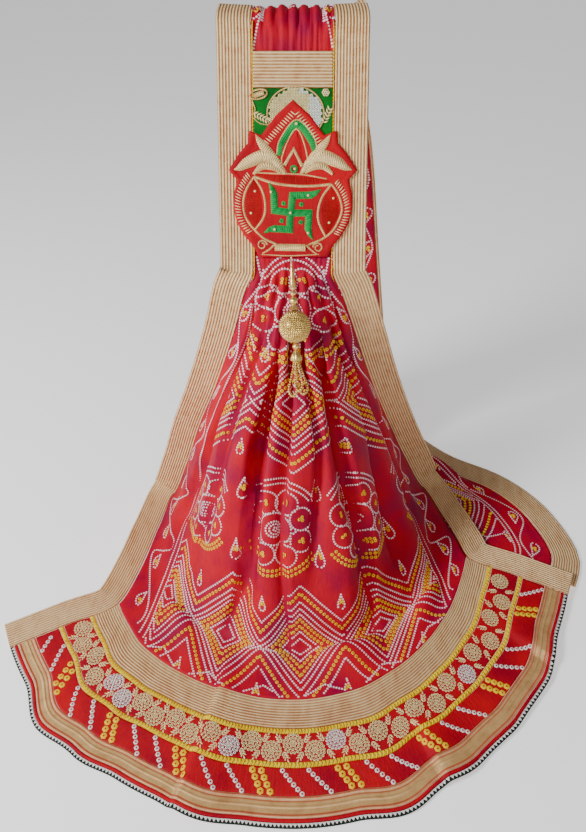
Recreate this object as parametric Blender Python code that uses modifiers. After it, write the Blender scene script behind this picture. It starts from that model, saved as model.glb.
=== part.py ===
"""Embroidered dupatta: a long bandhani sheet with a corded lace down both sides, hung over a rounded edge.

The front half falls from the fold and opens into a fan on the floor. The back half falls behind it and its
tail turns forward on the floor, to the right. Metres, +Z up, -Y faces the viewer, the floor is z = 0.

The whole cloth is one surface: `along` runs up the front from the hem, over the fold and down the back, and
`across` runs from -1 at the left edge of the red ground to +1 at its right edge. Every sewn piece is a strip
between two values of each, so neighbours share the same folds.
"""

import math

import bmesh
import bpy
import numpy as np

for old in list(bpy.data.objects):
    bpy.data.objects.remove(old, do_unlink=True)

# Thickness of each piece, and the gap that neighbours keep
FIELD_THICK = 0.0015
LACE_THICK = 0.0024
TRIM_THICK = 0.0022
BAND_THICK = 0.0018
GREEN_THICK = 0.0010
CROSS_LACE_THICK = 0.0016
PATCH_THICK = 0.0030
GAP = 0.0004
OVERLAY_GAP = 0.0003

# Colours, as the shader takes them
CRIMSON = (0.60, 0.002, 0.018)
RED = (0.62, 0.003, 0.006)
CREAM_GOLD = (0.80, 0.60, 0.36)
YELLOW = (0.85, 0.58, 0.05)
GREEN = (0.0, 0.17, 0.012)
ANTIQUE_GOLD = (0.62, 0.46, 0.20)
WHITE = (0.90, 0.88, 0.84)

# The border of the fan, from the hem inward
BORDER = (
    # name, width, thickness, colour
    ("picot_edge", 0.006, BAND_THICK, WHITE),
    ("piping", 0.005, TRIM_THICK, RED),
    ("zari_lace", 0.025, BAND_THICK, ANTIQUE_GOLD),
    ("border_ground", 0.034, FIELD_THICK, RED),
    ("outer_trim", 0.007, TRIM_THICK, YELLOW),
    ("embroidered_band", 0.037, BAND_THICK, RED),
    ("inner_trim", 0.007, TRIM_THICK, YELLOW),
    ("hem_lace", 0.039, LACE_THICK, CREAM_GOLD),
)
HEM_DEPTH = sum(width for _, width, _, _ in BORDER)
LACE_WIDTH = 0.040
CLOTH_END = 2.000

# The middle of the part's box in the rows' own x and y, which becomes the part's origin
ORIGIN = np.array((0.0166, 0.25696, 0.0))

# Rows across the cloth, from the front hem over the fold to the end of the tail.
# along; middle y, z; left edge x, y, z; right edge x, y, z; half angle of the row's arc in degrees;
# the way the side lace points, in degrees from straight sideways towards the back, left and right
ROWS = np.array([
    (0.000, -0.091, 0.000, -0.383, 0.133, 0.000, 0.395, 0.214, 0.007, 58, 60, 50),
    (0.080, -0.016, 0.000, -0.316, 0.168, 0.000, 0.329, 0.248, 0.007, 62, 60, 55),
    (0.160, 0.059, 0.000, -0.249, 0.203, 0.000, 0.262, 0.283, 0.007, 68, 50, 60),
    (0.214, 0.123, 0.002, -0.224, 0.280, 0.001, 0.252, 0.318, 0.007, 68, 20, 60),
    (0.277, 0.152, 0.056, -0.212, 0.348, 0.001, 0.237, 0.366, 0.007, 66, 30, 45),
    (0.345, 0.181, 0.117, -0.196, 0.412, 0.008, 0.214, 0.420, 0.014, 74, 12, 25),
    (0.419, 0.219, 0.181, -0.167, 0.415, 0.077, 0.179, 0.430, 0.075, 78, 4, 8),
    (0.491, 0.258, 0.241, -0.140, 0.405, 0.162, 0.147, 0.424, 0.150, 78, 0, 0),
    (0.561, 0.296, 0.300, -0.106, 0.386, 0.255, 0.114, 0.409, 0.238, 72, 0, 0),
    (0.630, 0.331, 0.359, -0.072, 0.374, 0.358, 0.080, 0.386, 0.343, 56, 0, 0),
    (0.685, 0.358, 0.407, -0.058, 0.371, 0.411, 0.060, 0.376, 0.404, 36, 0, 0),
    (0.718, 0.3747, 0.4373, -0.0480, 0.3747, 0.4373, 0.0480, 0.3747, 0.4373, 8, 0, 0),
    (0.735, 0.3830, 0.4520, -0.0480, 0.3830, 0.4520, 0.0480, 0.3830, 0.4520, 8, 0, 0),
    (0.982, 0.5030, 0.6660, -0.0480, 0.5030, 0.6660, 0.0480, 0.5030, 0.6660, 8, 0, 0),
    (0.996, 0.5098, 0.6781, -0.0480, 0.5098, 0.6781, 0.0480, 0.5098, 0.6781, 8, 0, 0),
    (1.014, 0.5230, 0.6880, -0.0475, 0.5225, 0.6875, 0.0475, 0.5225, 0.6880, 8, 2, 2),
    (1.036, 0.5400, 0.6920, -0.0465, 0.5390, 0.6905, 0.0465, 0.5390, 0.6915, 8, 6, 5),
    (1.065, 0.5580, 0.6810, -0.0470, 0.5560, 0.6790, 0.0480, 0.5570, 0.6800, 8, 12, 12),
    (1.100, 0.5660, 0.6520, -0.0560, 0.5630, 0.6500, 0.0660, 0.5650, 0.6510, 10, 30, 45),
    (1.220, 0.5670, 0.5350, -0.0720, 0.5610, 0.5350, 0.1000, 0.5630, 0.5360, 20, 110, 112),
    (1.380, 0.5640, 0.3780, -0.0840, 0.5540, 0.3790, 0.1210, 0.5540, 0.3800, 30, 120, 120),
    (1.540, 0.5640, 0.2220, -0.0980, 0.5500, 0.2230, 0.1420, 0.5500, 0.2260, 34, 120, 120),
    (1.640, 0.5620, 0.1240, -0.1060, 0.5480, 0.1240, 0.1550, 0.5500, 0.1340, 34, 100, 100),
    (1.710, 0.5560, 0.0560, -0.1160, 0.5440, 0.0560, 0.1780, 0.5360, 0.0620, 30, 60, 85),
    (1.752, 0.5320, 0.0150, -0.1220, 0.5240, 0.0150, 0.2100, 0.5080, 0.0180, 26, 35, 70),
    (1.790, 0.4970, 0.0030, -0.1160, 0.4900, 0.0030, 0.2600, 0.4720, 0.0040, 24, 20, 62),
    (1.850, 0.4400, 0.0030, -0.0850, 0.4500, 0.0030, 0.3320, 0.4260, 0.0030, 20, 10, 50),
    (1.905, 0.3860, 0.0030, -0.0400, 0.4150, 0.0030, 0.3780, 0.3600, 0.0030, 18, 10, 5),
    (1.955, 0.3360, 0.0030, 0.0000, 0.3850, 0.0030, 0.3940, 0.2920, 0.0030, 16, 10, -10),
    (2.000, 0.2920, 0.0030, 0.0300, 0.3560, 0.0030, 0.3740, 0.2440, 0.0030, 14, 10, -35),
])
# Middle x of the rows that don't hang straight
MIDDLE_X = np.array([
    # along, x
    (0.0, 0.0), (1.10, 0.0), (1.22, 0.012), (1.54, 0.018),
    (1.71, 0.030), (1.79, 0.070), (1.905, 0.165), (2.0, 0.200),
])

# Folds of the red ground, each from one point (along, across) to another
FOLDS = (
    # along_a, across_a, along_b, across_b, depth inward, half width across
    (0.64, -0.22, 0.20, -0.34, 0.011, 0.13),
    (0.68, 0.10, 0.58, 0.14, 0.016, 0.36),
    (0.48, 0.10, 0.26, 0.09, 0.006, 0.10),
    (0.54, 0.66, 0.24, 0.46, 0.013, 0.13),
    (0.50, 0.90, 0.20, 0.84, 0.007, 0.10),
    (0.54, -0.72, 0.24, -0.66, 0.008, 0.14),
    (0.44, -0.10, 0.24, -0.06, -0.006, 0.10),
    (0.42, 0.30, 0.22, 0.28, -0.008, 0.14),
)
# Loose waves where the ground meets the floor, and the puffed roll at the root of the tail
WAVES = (
    # along, across, height, half length, half width
    (0.212, -0.62, 0.013, 0.042, 0.22),
    (0.205, 0.24, 0.016, 0.038, 0.20),
    (0.210, 0.66, 0.014, 0.040, 0.16),
    (0.225, -0.12, 0.009, 0.040, 0.16),
    (1.798, 0.79, -0.038, 0.060, 0.19),
)
# Knife pleats of the fan
PLEATS = (
    # across, height, width of the slow side, width of the steep side, along where it has faded
    (-0.295, 0.0075, 0.200, 0.026, 0.200),
    (0.400, 0.0055, 0.120, 0.026, 0.110),
    (0.820, 0.0050, 0.100, 0.028, 0.100),
)
PLEAT_FADE = 0.05
# Corners of the fan, where the hem stands out from its round
HEM_CORNERS = (
    # across, push outward
    (-0.74, 0.017), (-0.60, 0.008), (-0.24, 0.006), (0.28, 0.010), (0.47, 0.008), (0.62, 0.010), (0.76, 0.012),
)
HEM_CORNER_WIDTH = 0.13
HEM_CORNER_SPREAD = 50
# Fine gathers above the fan, under the patch's foot, and the puckers of the cloth that goes over the fold
GATHERS = 9
GATHER_HEIGHT = 0.0022
PUCKERS = 7
PUCKER_HEIGHT = 0.0016

# Columns of the ground's mesh, and how far its edge stays clear of the side lace
COLUMNS = 32
EDGE = 1 - GAP / 0.2
HINGE_SLACK = 0.0007


def hermite(x, xs, ys):
    """A smooth curve through the table: cubic pieces whose slope at a row is the limited mean of its neighbours'."""
    step = np.diff(xs)
    slope = np.diff(ys, axis=0) / step[:, None]
    before, after = slope[:-1], slope[1:]
    turn = np.where(before * after > 0, 2 * before * after / (before + after + 1e-12), 0.0)
    tangent = np.vstack([slope[:1], turn, slope[-1:]])
    at = np.clip(np.searchsorted(xs, x, side="right") - 1, 0, len(xs) - 2)
    t = ((x - xs[at]) / step[at])[..., None]
    h = step[at][..., None]
    return (
        (2 * t**3 - 3 * t**2 + 1) * ys[at]
        + (t**3 - 2 * t**2 + t) * h * tangent[at]
        + (3 * t**2 - 2 * t**3) * ys[at + 1]
        + (t**3 - t**2) * h * tangent[at + 1]
    )


def bell(x):
    """A soft bump, 1 at x = 0 and 0 from |x| = 1 on."""
    return np.where(np.abs(x) < 1, 0.5 + 0.5 * np.cos(math.pi * np.clip(x, -1, 1)), 0.0)


def ramp(x):
    """0 below 0, 1 above 1, smooth between."""
    t = np.clip(x, 0, 1)
    return t * t * (3 - 2 * t)


def unit(v):
    """The same directions, one long."""
    return v / np.linalg.norm(v, axis=-1, keepdims=True)


def draped(across, along):
    """The cloth without its small folds: each row is an arc of an ellipse from its left edge to its right one."""
    row = hermite(along, ROWS[:, 0], ROWS[:, 1:])
    mid_y, mid_z = row[..., 0], row[..., 1]
    mid_x = hermite(along, MIDDLE_X[:, 0], MIDDLE_X[:, 1:])[..., 0]
    left, right = row[..., 2:5], row[..., 5:8]
    edge = np.where((across < 0)[..., None], left, right)
    arc = np.radians(row[..., 8])
    t = np.abs(across)
    sideways = np.sin(t * arc) / np.sin(arc)
    inward = (1 - np.cos(t * arc)) / (1 - np.cos(arc))
    x = mid_x + (edge[..., 0] - mid_x) * sideways
    y = mid_y + (edge[..., 1] - mid_y) * inward
    z = mid_z + (edge[..., 2] - mid_z) * inward
    fan = 1 - ramp(along / (HEM_DEPTH * 1.3))
    turn = across * np.radians(HEM_CORNER_SPREAD)
    for corner, push in HEM_CORNERS:
        out = fan * push * bell((across - corner) / HEM_CORNER_WIDTH)
        x = x + out * np.sin(turn)
        y = y - out * np.cos(turn)
    return np.stack([x, y, z], axis=-1)


def normals(surface, across, along):
    """The outer face's direction at each point of a surface, from its slopes both ways."""
    step = 0.002
    over = surface(np.clip(across + step, -1, 1), along) - surface(np.clip(across - step, -1, 1), along)
    up = surface(across, np.clip(along + step, 0, CLOTH_END)) - surface(across, np.clip(along - step, 0, CLOTH_END))
    return unit(np.cross(over, up))


def relief(across, along):
    """How far the small folds, gathers, waves and pleats stand out of the draped cloth."""
    out = np.zeros(np.broadcast(across, along).shape)
    for along_a, across_a, along_b, across_b, depth, half_width in FOLDS:
        share = (along - along_a) / (along_b - along_a)
        centre = across_a + (across_b - across_a) * share
        fade = ramp(share * 4) * ramp((1 - share) * 4)
        out = out - depth * fade * bell((across - centre) / half_width)
    for at, where, height, half_length, half_width in WAVES:
        out = out + height * bell((along - at) / half_length) * bell((across - where) / half_width)
    for where, height, slow, steep, end in PLEATS:
        side = np.where(across > where, (across - where) / slow, (across - where) / steep)
        out = out + height * bell(side) * (1 - ramp((along - end + PLEAT_FADE) / PLEAT_FADE))
    flat_edge = 1 - across**8
    gathered = ramp((along - 0.50) / 0.17) * (1 - ramp((along - 0.700) / 0.022))
    out = out + GATHER_HEIGHT * gathered * flat_edge * np.cos(GATHERS * math.pi * across)
    puckered = ramp((along - 0.985) / 0.02) * (1 - ramp((along - 1.60) / 0.10))
    return out + PUCKER_HEIGHT * puckered * flat_edge * (np.cos(PUCKERS * math.pi * across) - 1)


def cloth(across, along):
    """The underside of the cloth, on the side away from its outer face."""
    across, along = np.broadcast_arrays(np.asarray(across, float), np.asarray(along, float))
    face = normals(draped, across, along)
    p = draped(across, along) + face * relief(across, along)[..., None]
    p[..., 2] = np.maximum(p[..., 2], 1.6 * FIELD_THICK * np.maximum(-face[..., 2], 0))
    return p


def side_lace(side, along, out):
    """The side lace's underside: `out` is the distance from the red ground's edge, square to the edge's own run."""
    along, out = np.broadcast_arrays(np.asarray(along, float), np.asarray(out, float))
    edge = np.full(along.shape, float(side))
    step = 0.004
    run = unit(cloth(edge, np.clip(along + step, 0, CLOTH_END)) - cloth(edge, np.clip(along - step, 0, CLOTH_END)))
    turn = np.radians(hermite(along, ROWS[:, 0], ROWS[:, 10:])[..., 0 if side < 0 else 1])
    way = np.stack([side * np.cos(turn), np.sin(turn), np.zeros_like(turn)], axis=-1)
    way = unit(way - run * np.sum(way * run, axis=-1, keepdims=True))
    field_way = unit(cloth(edge, along) - cloth(edge * (1 - 2 / COLUMNS), along))
    cos = np.clip(np.sum(field_way * way, axis=-1), -1, 1)
    hinge = LACE_THICK * (np.sqrt(1 - cos**2) + 1.3 * np.maximum(-cos, 0)) + HINGE_SLACK * (1 - cos)
    p = cloth(edge, along) + field_way * hinge[..., None] + way * out[..., None]
    face = np.cross(way, run) * side
    p[..., 2] = np.maximum(p[..., 2], LACE_THICK * np.maximum(-face[..., 2], 0))
    return p, face


parts = bpy.data.collections.new("embroidered_dupatta")
bpy.context.scene.collection.children.link(parts)


def empty(name, location, rotation=(0.0, 0.0, 0.0), parent=None):
    """A named place that other objects are parented to."""
    made = bpy.data.objects.new(name, None)
    made.location, made.rotation_euler, made.parent = location, rotation, parent
    bpy.context.scene.collection.objects.link(made)
    return made


def place(name, data, parent, colour, rough=0.8, metal=0.0, location=(0.0, 0.0, 0.0)):
    """Makes the object of one piece, with its material, under its parent."""
    material = bpy.data.materials.new(name)
    material.use_nodes = True
    shader = material.node_tree.nodes["Principled BSDF"]
    shader.inputs["Base Color"].default_value = (*colour, 1)
    shader.inputs["Roughness"].default_value = rough
    shader.inputs["Metallic"].default_value = metal
    data.materials.append(material)
    made = bpy.data.objects.new(name, data)
    made.parent, made.location = parent, location
    parts.objects.link(made)
    return made


def closed_sheet(name, lower, upper, colour, rough=0.8):
    """One closed solid between two grids of the same shape: a loft of both faces and the rim between them."""
    rows, columns = lower.shape[:2]
    points = np.vstack([lower.reshape(-1, 3), upper.reshape(-1, 3)])
    index = np.arange(rows * columns).reshape(rows, columns)
    a, b, c, d = index[:-1, :-1].ravel(), index[:-1, 1:].ravel(), index[1:, 1:].ravel(), index[1:, :-1].ravel()
    high = rows * columns
    top = np.vstack([np.stack([a, b, c], 1), np.stack([a, c, d], 1)]) + high
    bottom = np.vstack([np.stack([a, c, b], 1), np.stack([a, d, c], 1)])
    ring = np.concatenate([index[0, :], index[1:, -1], index[-1, -2::-1], index[-2:0:-1, 0]])
    after = np.roll(ring, -1)
    rim = np.vstack([np.stack([ring, after, after + high], 1), np.stack([ring, after + high, ring + high], 1)])
    mesh = bpy.data.meshes.new(name)
    mesh.from_pydata(points.tolist(), [], np.vstack([top, bottom, rim]).tolist())
    return place(name, mesh, drape, colour, rough)


def strip(name, across, along, thick, colour, lift=0.0):
    """A strip of the cloth's own surface, lifted off it by `lift`."""
    across, along = np.meshgrid(across, along)
    low = cloth(across, along)
    face = normals(cloth, across, along)
    return closed_sheet(name, low + face * lift, low + face * (lift + thick), colour)


drape = empty("drape", -ORIGIN)

# The red ground, in one piece from the inner edge of the front border to the tail
front_rows = np.arange(HEM_DEPTH + GAP, 0.70, 0.0245)
flat_rows = np.array([0.712, 0.735, 0.86, 0.982])
fold_rows = np.linspace(0.994, 1.115, 10)
back_rows = np.linspace(1.16, 1.64, 8)
bend_rows = np.linspace(1.68, 1.80, 8)
tail_rows = np.linspace(1.83, CLOTH_END, 8)
field_along = np.concatenate([front_rows, flat_rows, fold_rows, back_rows, bend_rows, tail_rows])
field_across = np.linspace(-EDGE, EDGE, COLUMNS + 1)
strip("field_cloth", field_across, field_along, FIELD_THICK, CRIMSON)

start = 0.0
for name, width, thick, colour in BORDER:
    strip(name, field_across, np.array([start + GAP / 2, start + width - GAP / 2]), thick, colour)
    start += width

# The corded lace down each side
lace_along = np.concatenate([np.linspace(0.0, HEM_DEPTH, 5), field_along])
for side, name in ((-1, "lace_left"), (1, "lace_right")):
    along, out = np.meshgrid(lace_along, np.array([GAP, LACE_WIDTH / 2, LACE_WIDTH]), indexing="ij")
    low, face = side_lace(side, along, out)
    if side < 0:
        low, face = low[:, ::-1], face[:, ::-1]
    closed_sheet(name, low, low + face * LACE_THICK, CREAM_GOLD, 0.6)

# Sewn on the flat stretch between the side laces: the green panel, and the lace across its head
OVERLAY_EDGE = 0.96
for name, low_along, high_along, thick, colour in (
    ("green_panel", 0.850, 0.927, GREEN_THICK, GREEN),
    ("cross_lace", 0.9275, 0.9675, CROSS_LACE_THICK, CREAM_GOLD),
):
    across, along = np.array([-OVERLAY_EDGE, OVERLAY_EDGE]), np.array([low_along, high_along])
    strip(name, across, along, thick, colour, lift=FIELD_THICK + OVERLAY_GAP)

# The front's straight slope as an empty at the patch's foot: its x is across, its y up the slope, its z outward
SLOPE_FOOT = np.array((0.0, 0.383, 0.452))
SLOPE_HEAD = np.array((0.0, 0.503, 0.666))
_, rise_y, rise_z = SLOPE_HEAD - SLOPE_FOOT
slope = empty("front_slope", SLOPE_FOOT, (math.atan2(rise_z, rise_y), 0, 0), drape)

# The pot-shaped patch is a flat outline: the left and right halves are alike
PATCH_HALF = (
    # half width, height above the foot
    (0.000, 0.178), (0.020, 0.161), (0.037, 0.139), (0.051, 0.144), (0.053, 0.130), (0.064, 0.118),
    (0.076, 0.100), (0.066, 0.089), (0.070, 0.074), (0.071, 0.058), (0.067, 0.040), (0.059, 0.026),
    (0.048, 0.013), (0.041, 0.000),
)
PATCH_LIFT = FIELD_THICK + OVERLAY_GAP + GREEN_THICK + OVERLAY_GAP


def poly_curve(name, points, dimensions, closed=False):
    """A curve through the points with straight runs between them."""
    curve = bpy.data.curves.new(name, "CURVE")
    curve.dimensions = dimensions
    spline = curve.splines.new("POLY")
    spline.points.add(len(points) - 1)
    spline.points.foreach_set("co", [value for point in points for value in (*point, 1.0)])
    spline.use_cyclic_u = closed
    return curve


outline = [(x, y, 0.0) for x, y in PATCH_HALF] + [(-x, y, 0.0) for x, y in reversed(PATCH_HALF[1:])]
patch = poly_curve("kalash_patch", outline, "2D", closed=True)
patch.fill_mode = "BOTH"
patch.extrude = PATCH_THICK / 2
place("kalash_patch", patch, slope, RED, location=(0, 0, PATCH_LIFT + PATCH_THICK / 2))

# The latkan hangs from the patch's foot: a thread, beads, a wound ball, a bell cap and a tassel of beads
LATKAN_X = -0.002
LATKAN_STAND_OFF = 0.0235
LATKAN_LEAN = 0.05
THREAD_RADIUS = 0.0009
THREAD = (
    # down from the foot, out from the slope
    (0.0003, 0.0048), (0.0025, 0.0052), (0.0060, 0.0130), (0.0090, 0.0228), (0.0117, LATKAN_STAND_OFF),
)
thread = poly_curve("latkan_thread", [(LATKAN_X, -down, height) for down, height in THREAD], "3D")
thread.bevel_depth = THREAD_RADIUS
thread.bevel_resolution = 2
thread.use_fill_caps = True
place("latkan_thread", thread, slope, ANTIQUE_GOLD)

# Its line as an empty whose -z runs down the beads
latkan = empty("latkan", (LATKAN_X, 0, LATKAN_STAND_OFF), (-math.pi / 2, 0, LATKAN_LEAN), slope)
METAL = 0.6
BEAD_ROUGH = 0.35
# Beads from the top: a ball is given by its radius, a turned one by rows of (down from its top, radius)
BEADS = (
    # name, sides, radius or profile
    ("latkan_cone_bead", 8, ((0.000, 0.0016), (0.018, 0.0030), (0.025, 0.0036), (0.027, 0.0020))),
    ("latkan_small_bead", 10, 0.0036),
    ("latkan_round_bead", 12, 0.0050),
    ("latkan_top_cap", 12, ((0.000, 0.0030), (0.003, 0.0045), (0.0055, 0.0070))),
    ("latkan_ball", 20, 0.0195),
    ("latkan_lower_bead", 10, 0.0042),
    ("latkan_bell_cap", 12, ((0.000, 0.0025), (0.0026, 0.0055), (0.0086, 0.0085), (0.0121, 0.0095))),
)
FIRST_BEAD = 0.0120
TASSEL_STRANDS = 8
TASSEL_RADIUS = 0.0085
TASSEL_HEAD = 0.004
TASSEL_LENGTH = 0.046
TASSEL_SPREAD = 0.35


def ball(name, down, radius, sides):
    """A round bead whose centre is `down` the latkan's line. Gives it back with nothing to turn."""
    bm = bmesh.new()
    bmesh.ops.create_uvsphere(bm, u_segments=sides, v_segments=sides // 2 + 1, radius=radius)
    mesh = bpy.data.meshes.new(name)
    bm.to_mesh(mesh)
    bm.free()
    mesh.shade_smooth()
    return place(name, mesh, latkan, ANTIQUE_GOLD, BEAD_ROUGH, METAL, (0, 0, -down))


def turned(name, down, profile, sides):
    """A turned bead whose top is `down` the latkan's line: its profile, closed at the axis, with a Screw."""
    rows = [(0.0, 0.0, -profile[0][0])] + [(r, 0.0, -d) for d, r in profile] + [(0.0, 0.0, -profile[-1][0])]
    mesh = bpy.data.meshes.new(name)
    mesh.from_pydata(rows, [(i, i + 1) for i in range(len(rows) - 1)], [])
    made = place(name, mesh, latkan, ANTIQUE_GOLD, BEAD_ROUGH, METAL, (0, 0, -down))
    screw = made.modifiers.new("Screw", "SCREW")
    screw.steps = screw.render_steps = sides
    screw.use_merge_vertices = True
    screw.merge_threshold = 0.00005
    return made


down = FIRST_BEAD
for name, sides, shape in BEADS:
    if isinstance(shape, float):
        ball(name, down + shape, shape, sides)
        down += 2 * shape + OVERLAY_GAP
    else:
        turned(name, down, shape, sides)
        down += shape[-1][0] + OVERLAY_GAP

# The tassel: strings of beads as three-sided strands, drawn out of the underside of one round head
bm = bmesh.new()
bmesh.ops.create_cone(
    bm, cap_ends=True, segments=TASSEL_STRANDS, radius1=TASSEL_RADIUS, radius2=TASSEL_RADIUS, depth=TASSEL_HEAD,
)
underside = min(bm.faces, key=lambda face: face.calc_center_median().z)
wedges = bmesh.ops.poke(bm, faces=[underside])["faces"]
bmesh.ops.inset_individual(bm, faces=wedges, thickness=0.0008)
ends = bmesh.ops.extrude_discrete_faces(bm, faces=wedges)["faces"]
for number, end in enumerate(ends):
    outward = end.calc_center_median() * TASSEL_SPREAD
    outward.z = -(TASSEL_LENGTH - 0.004 * (number % 3))
    bmesh.ops.translate(bm, verts=end.verts, vec=outward)
tassel = bpy.data.meshes.new("latkan_tassel")
bm.to_mesh(tassel)
bm.free()
place("latkan_tassel", tassel, latkan, ANTIQUE_GOLD, BEAD_ROUGH, METAL, (0, 0, -down - TASSEL_HEAD / 2))
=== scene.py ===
# %% [markdown]
# # An embroidered bridal dupatta
# A dupatta is a long veil. This one is crimson tie-dyed georgette with corded lace down both sides, a layered
# border, and an embroidered pot-shaped patch with a beaded drop, the latkan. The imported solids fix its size
# and drape. Here each of them gets its real surface: weave, cords, dyed dots, sequins, beads and thread.

# %% Load the frame
import math

import bmesh
import bpy
import numpy as np
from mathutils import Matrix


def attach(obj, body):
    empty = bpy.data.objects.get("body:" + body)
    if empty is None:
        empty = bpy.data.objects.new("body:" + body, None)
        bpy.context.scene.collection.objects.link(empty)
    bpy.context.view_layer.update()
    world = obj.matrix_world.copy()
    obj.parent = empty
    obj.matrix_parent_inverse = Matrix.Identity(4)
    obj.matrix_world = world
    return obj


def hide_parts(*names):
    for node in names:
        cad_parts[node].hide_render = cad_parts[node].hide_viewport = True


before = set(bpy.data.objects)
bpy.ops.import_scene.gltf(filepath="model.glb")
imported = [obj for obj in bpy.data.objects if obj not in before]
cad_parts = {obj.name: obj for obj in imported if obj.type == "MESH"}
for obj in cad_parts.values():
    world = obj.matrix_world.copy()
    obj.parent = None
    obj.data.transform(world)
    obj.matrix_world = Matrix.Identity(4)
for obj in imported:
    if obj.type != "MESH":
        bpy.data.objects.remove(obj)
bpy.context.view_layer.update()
print("nodes:", len(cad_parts))

# %% [markdown]
# ## The drape as a function
# The whole cloth is one surface of two parameters: `across` from -1 to +1 between the side laces, and `along`
# in metres from the front hem over the fold to the tail. The table repeats the part's own rows, so every
# piece made on it lies where its solid lies.

# %% The rows of the drape
ORIGIN = np.array((0.0166, 0.25696, 0.0))
HEM_DEPTH = 0.160
CLOTH_END = 2.000
LACE_WIDTH = 0.040
LACE_THICK = 0.0024
FIELD_THICK = 0.0015
GAP = 0.0004
COLUMNS = 32
HINGE_SLACK = 0.0007
# along; middle y, z; left edge x, y, z; right edge x, y, z; half arc; turn of the side lace, left and right
ROWS = np.array([
    (0.000, -0.091, 0.000, -0.383, 0.133, 0.000, 0.395, 0.214, 0.007, 58, 60, 50),
    (0.080, -0.016, 0.000, -0.316, 0.168, 0.000, 0.329, 0.248, 0.007, 62, 60, 55),
    (0.160, 0.059, 0.000, -0.249, 0.203, 0.000, 0.262, 0.283, 0.007, 68, 50, 60),
    (0.214, 0.123, 0.002, -0.224, 0.280, 0.001, 0.252, 0.318, 0.007, 68, 20, 60),
    (0.277, 0.152, 0.056, -0.212, 0.348, 0.001, 0.237, 0.366, 0.007, 66, 30, 45),
    (0.345, 0.181, 0.117, -0.196, 0.412, 0.008, 0.214, 0.420, 0.014, 74, 12, 25),
    (0.419, 0.219, 0.181, -0.167, 0.415, 0.077, 0.179, 0.430, 0.075, 78, 4, 8),
    (0.491, 0.258, 0.241, -0.140, 0.405, 0.162, 0.147, 0.424, 0.150, 78, 0, 0),
    (0.561, 0.296, 0.300, -0.106, 0.386, 0.255, 0.114, 0.409, 0.238, 72, 0, 0),
    (0.630, 0.331, 0.359, -0.072, 0.374, 0.358, 0.080, 0.386, 0.343, 56, 0, 0),
    (0.685, 0.358, 0.407, -0.058, 0.371, 0.411, 0.060, 0.376, 0.404, 36, 0, 0),
    (0.718, 0.3747, 0.4373, -0.0480, 0.3747, 0.4373, 0.0480, 0.3747, 0.4373, 8, 0, 0),
    (0.735, 0.3830, 0.4520, -0.0480, 0.3830, 0.4520, 0.0480, 0.3830, 0.4520, 8, 0, 0),
    (0.982, 0.5030, 0.6660, -0.0480, 0.5030, 0.6660, 0.0480, 0.5030, 0.6660, 8, 0, 0),
    (0.996, 0.5098, 0.6781, -0.0480, 0.5098, 0.6781, 0.0480, 0.5098, 0.6781, 8, 0, 0),
    (1.014, 0.5230, 0.6880, -0.0475, 0.5225, 0.6875, 0.0475, 0.5225, 0.6880, 8, 2, 2),
    (1.036, 0.5400, 0.6920, -0.0465, 0.5390, 0.6905, 0.0465, 0.5390, 0.6915, 8, 6, 5),
    (1.065, 0.5580, 0.6810, -0.0470, 0.5560, 0.6790, 0.0480, 0.5570, 0.6800, 8, 12, 12),
    (1.100, 0.5660, 0.6520, -0.0560, 0.5630, 0.6500, 0.0660, 0.5650, 0.6510, 10, 30, 45),
    (1.220, 0.5670, 0.5350, -0.0720, 0.5610, 0.5350, 0.1000, 0.5630, 0.5360, 20, 110, 112),
    (1.380, 0.5640, 0.3780, -0.0840, 0.5540, 0.3790, 0.1210, 0.5540, 0.3800, 30, 120, 120),
    (1.540, 0.5640, 0.2220, -0.0980, 0.5500, 0.2230, 0.1420, 0.5500, 0.2260, 34, 120, 120),
    (1.640, 0.5620, 0.1240, -0.1060, 0.5480, 0.1240, 0.1550, 0.5500, 0.1340, 34, 100, 100),
    (1.710, 0.5560, 0.0560, -0.1160, 0.5440, 0.0560, 0.1780, 0.5360, 0.0620, 30, 60, 85),
    (1.752, 0.5320, 0.0150, -0.1220, 0.5240, 0.0150, 0.2100, 0.5080, 0.0180, 26, 35, 70),
    (1.790, 0.4970, 0.0030, -0.1160, 0.4900, 0.0030, 0.2600, 0.4720, 0.0040, 24, 20, 62),
    (1.850, 0.4400, 0.0030, -0.0850, 0.4500, 0.0030, 0.3320, 0.4260, 0.0030, 20, 10, 50),
    (1.905, 0.3860, 0.0030, -0.0400, 0.4150, 0.0030, 0.3780, 0.3600, 0.0030, 18, 10, 5),
    (1.955, 0.3360, 0.0030, 0.0000, 0.3850, 0.0030, 0.3940, 0.2920, 0.0030, 16, 10, -10),
    (2.000, 0.2920, 0.0030, 0.0300, 0.3560, 0.0030, 0.3740, 0.2440, 0.0030, 14, 10, -35),
])
MIDDLE_X = np.array([
    # along, x
    (0.0, 0.0), (1.10, 0.0), (1.22, 0.012), (1.54, 0.018),
    (1.71, 0.030), (1.79, 0.070), (1.905, 0.165), (2.0, 0.200),
])
FOLDS = (
    # along_a, across_a, along_b, across_b, depth inward, half width across
    (0.64, -0.22, 0.20, -0.34, 0.011, 0.13), (0.68, 0.10, 0.58, 0.14, 0.016, 0.36),
    (0.48, 0.10, 0.26, 0.09, 0.006, 0.10), (0.54, 0.66, 0.24, 0.46, 0.013, 0.13),
    (0.50, 0.90, 0.20, 0.84, 0.007, 0.10), (0.54, -0.72, 0.24, -0.66, 0.008, 0.14),
    (0.44, -0.10, 0.24, -0.06, -0.006, 0.10), (0.42, 0.30, 0.22, 0.28, -0.008, 0.14),
)
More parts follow.
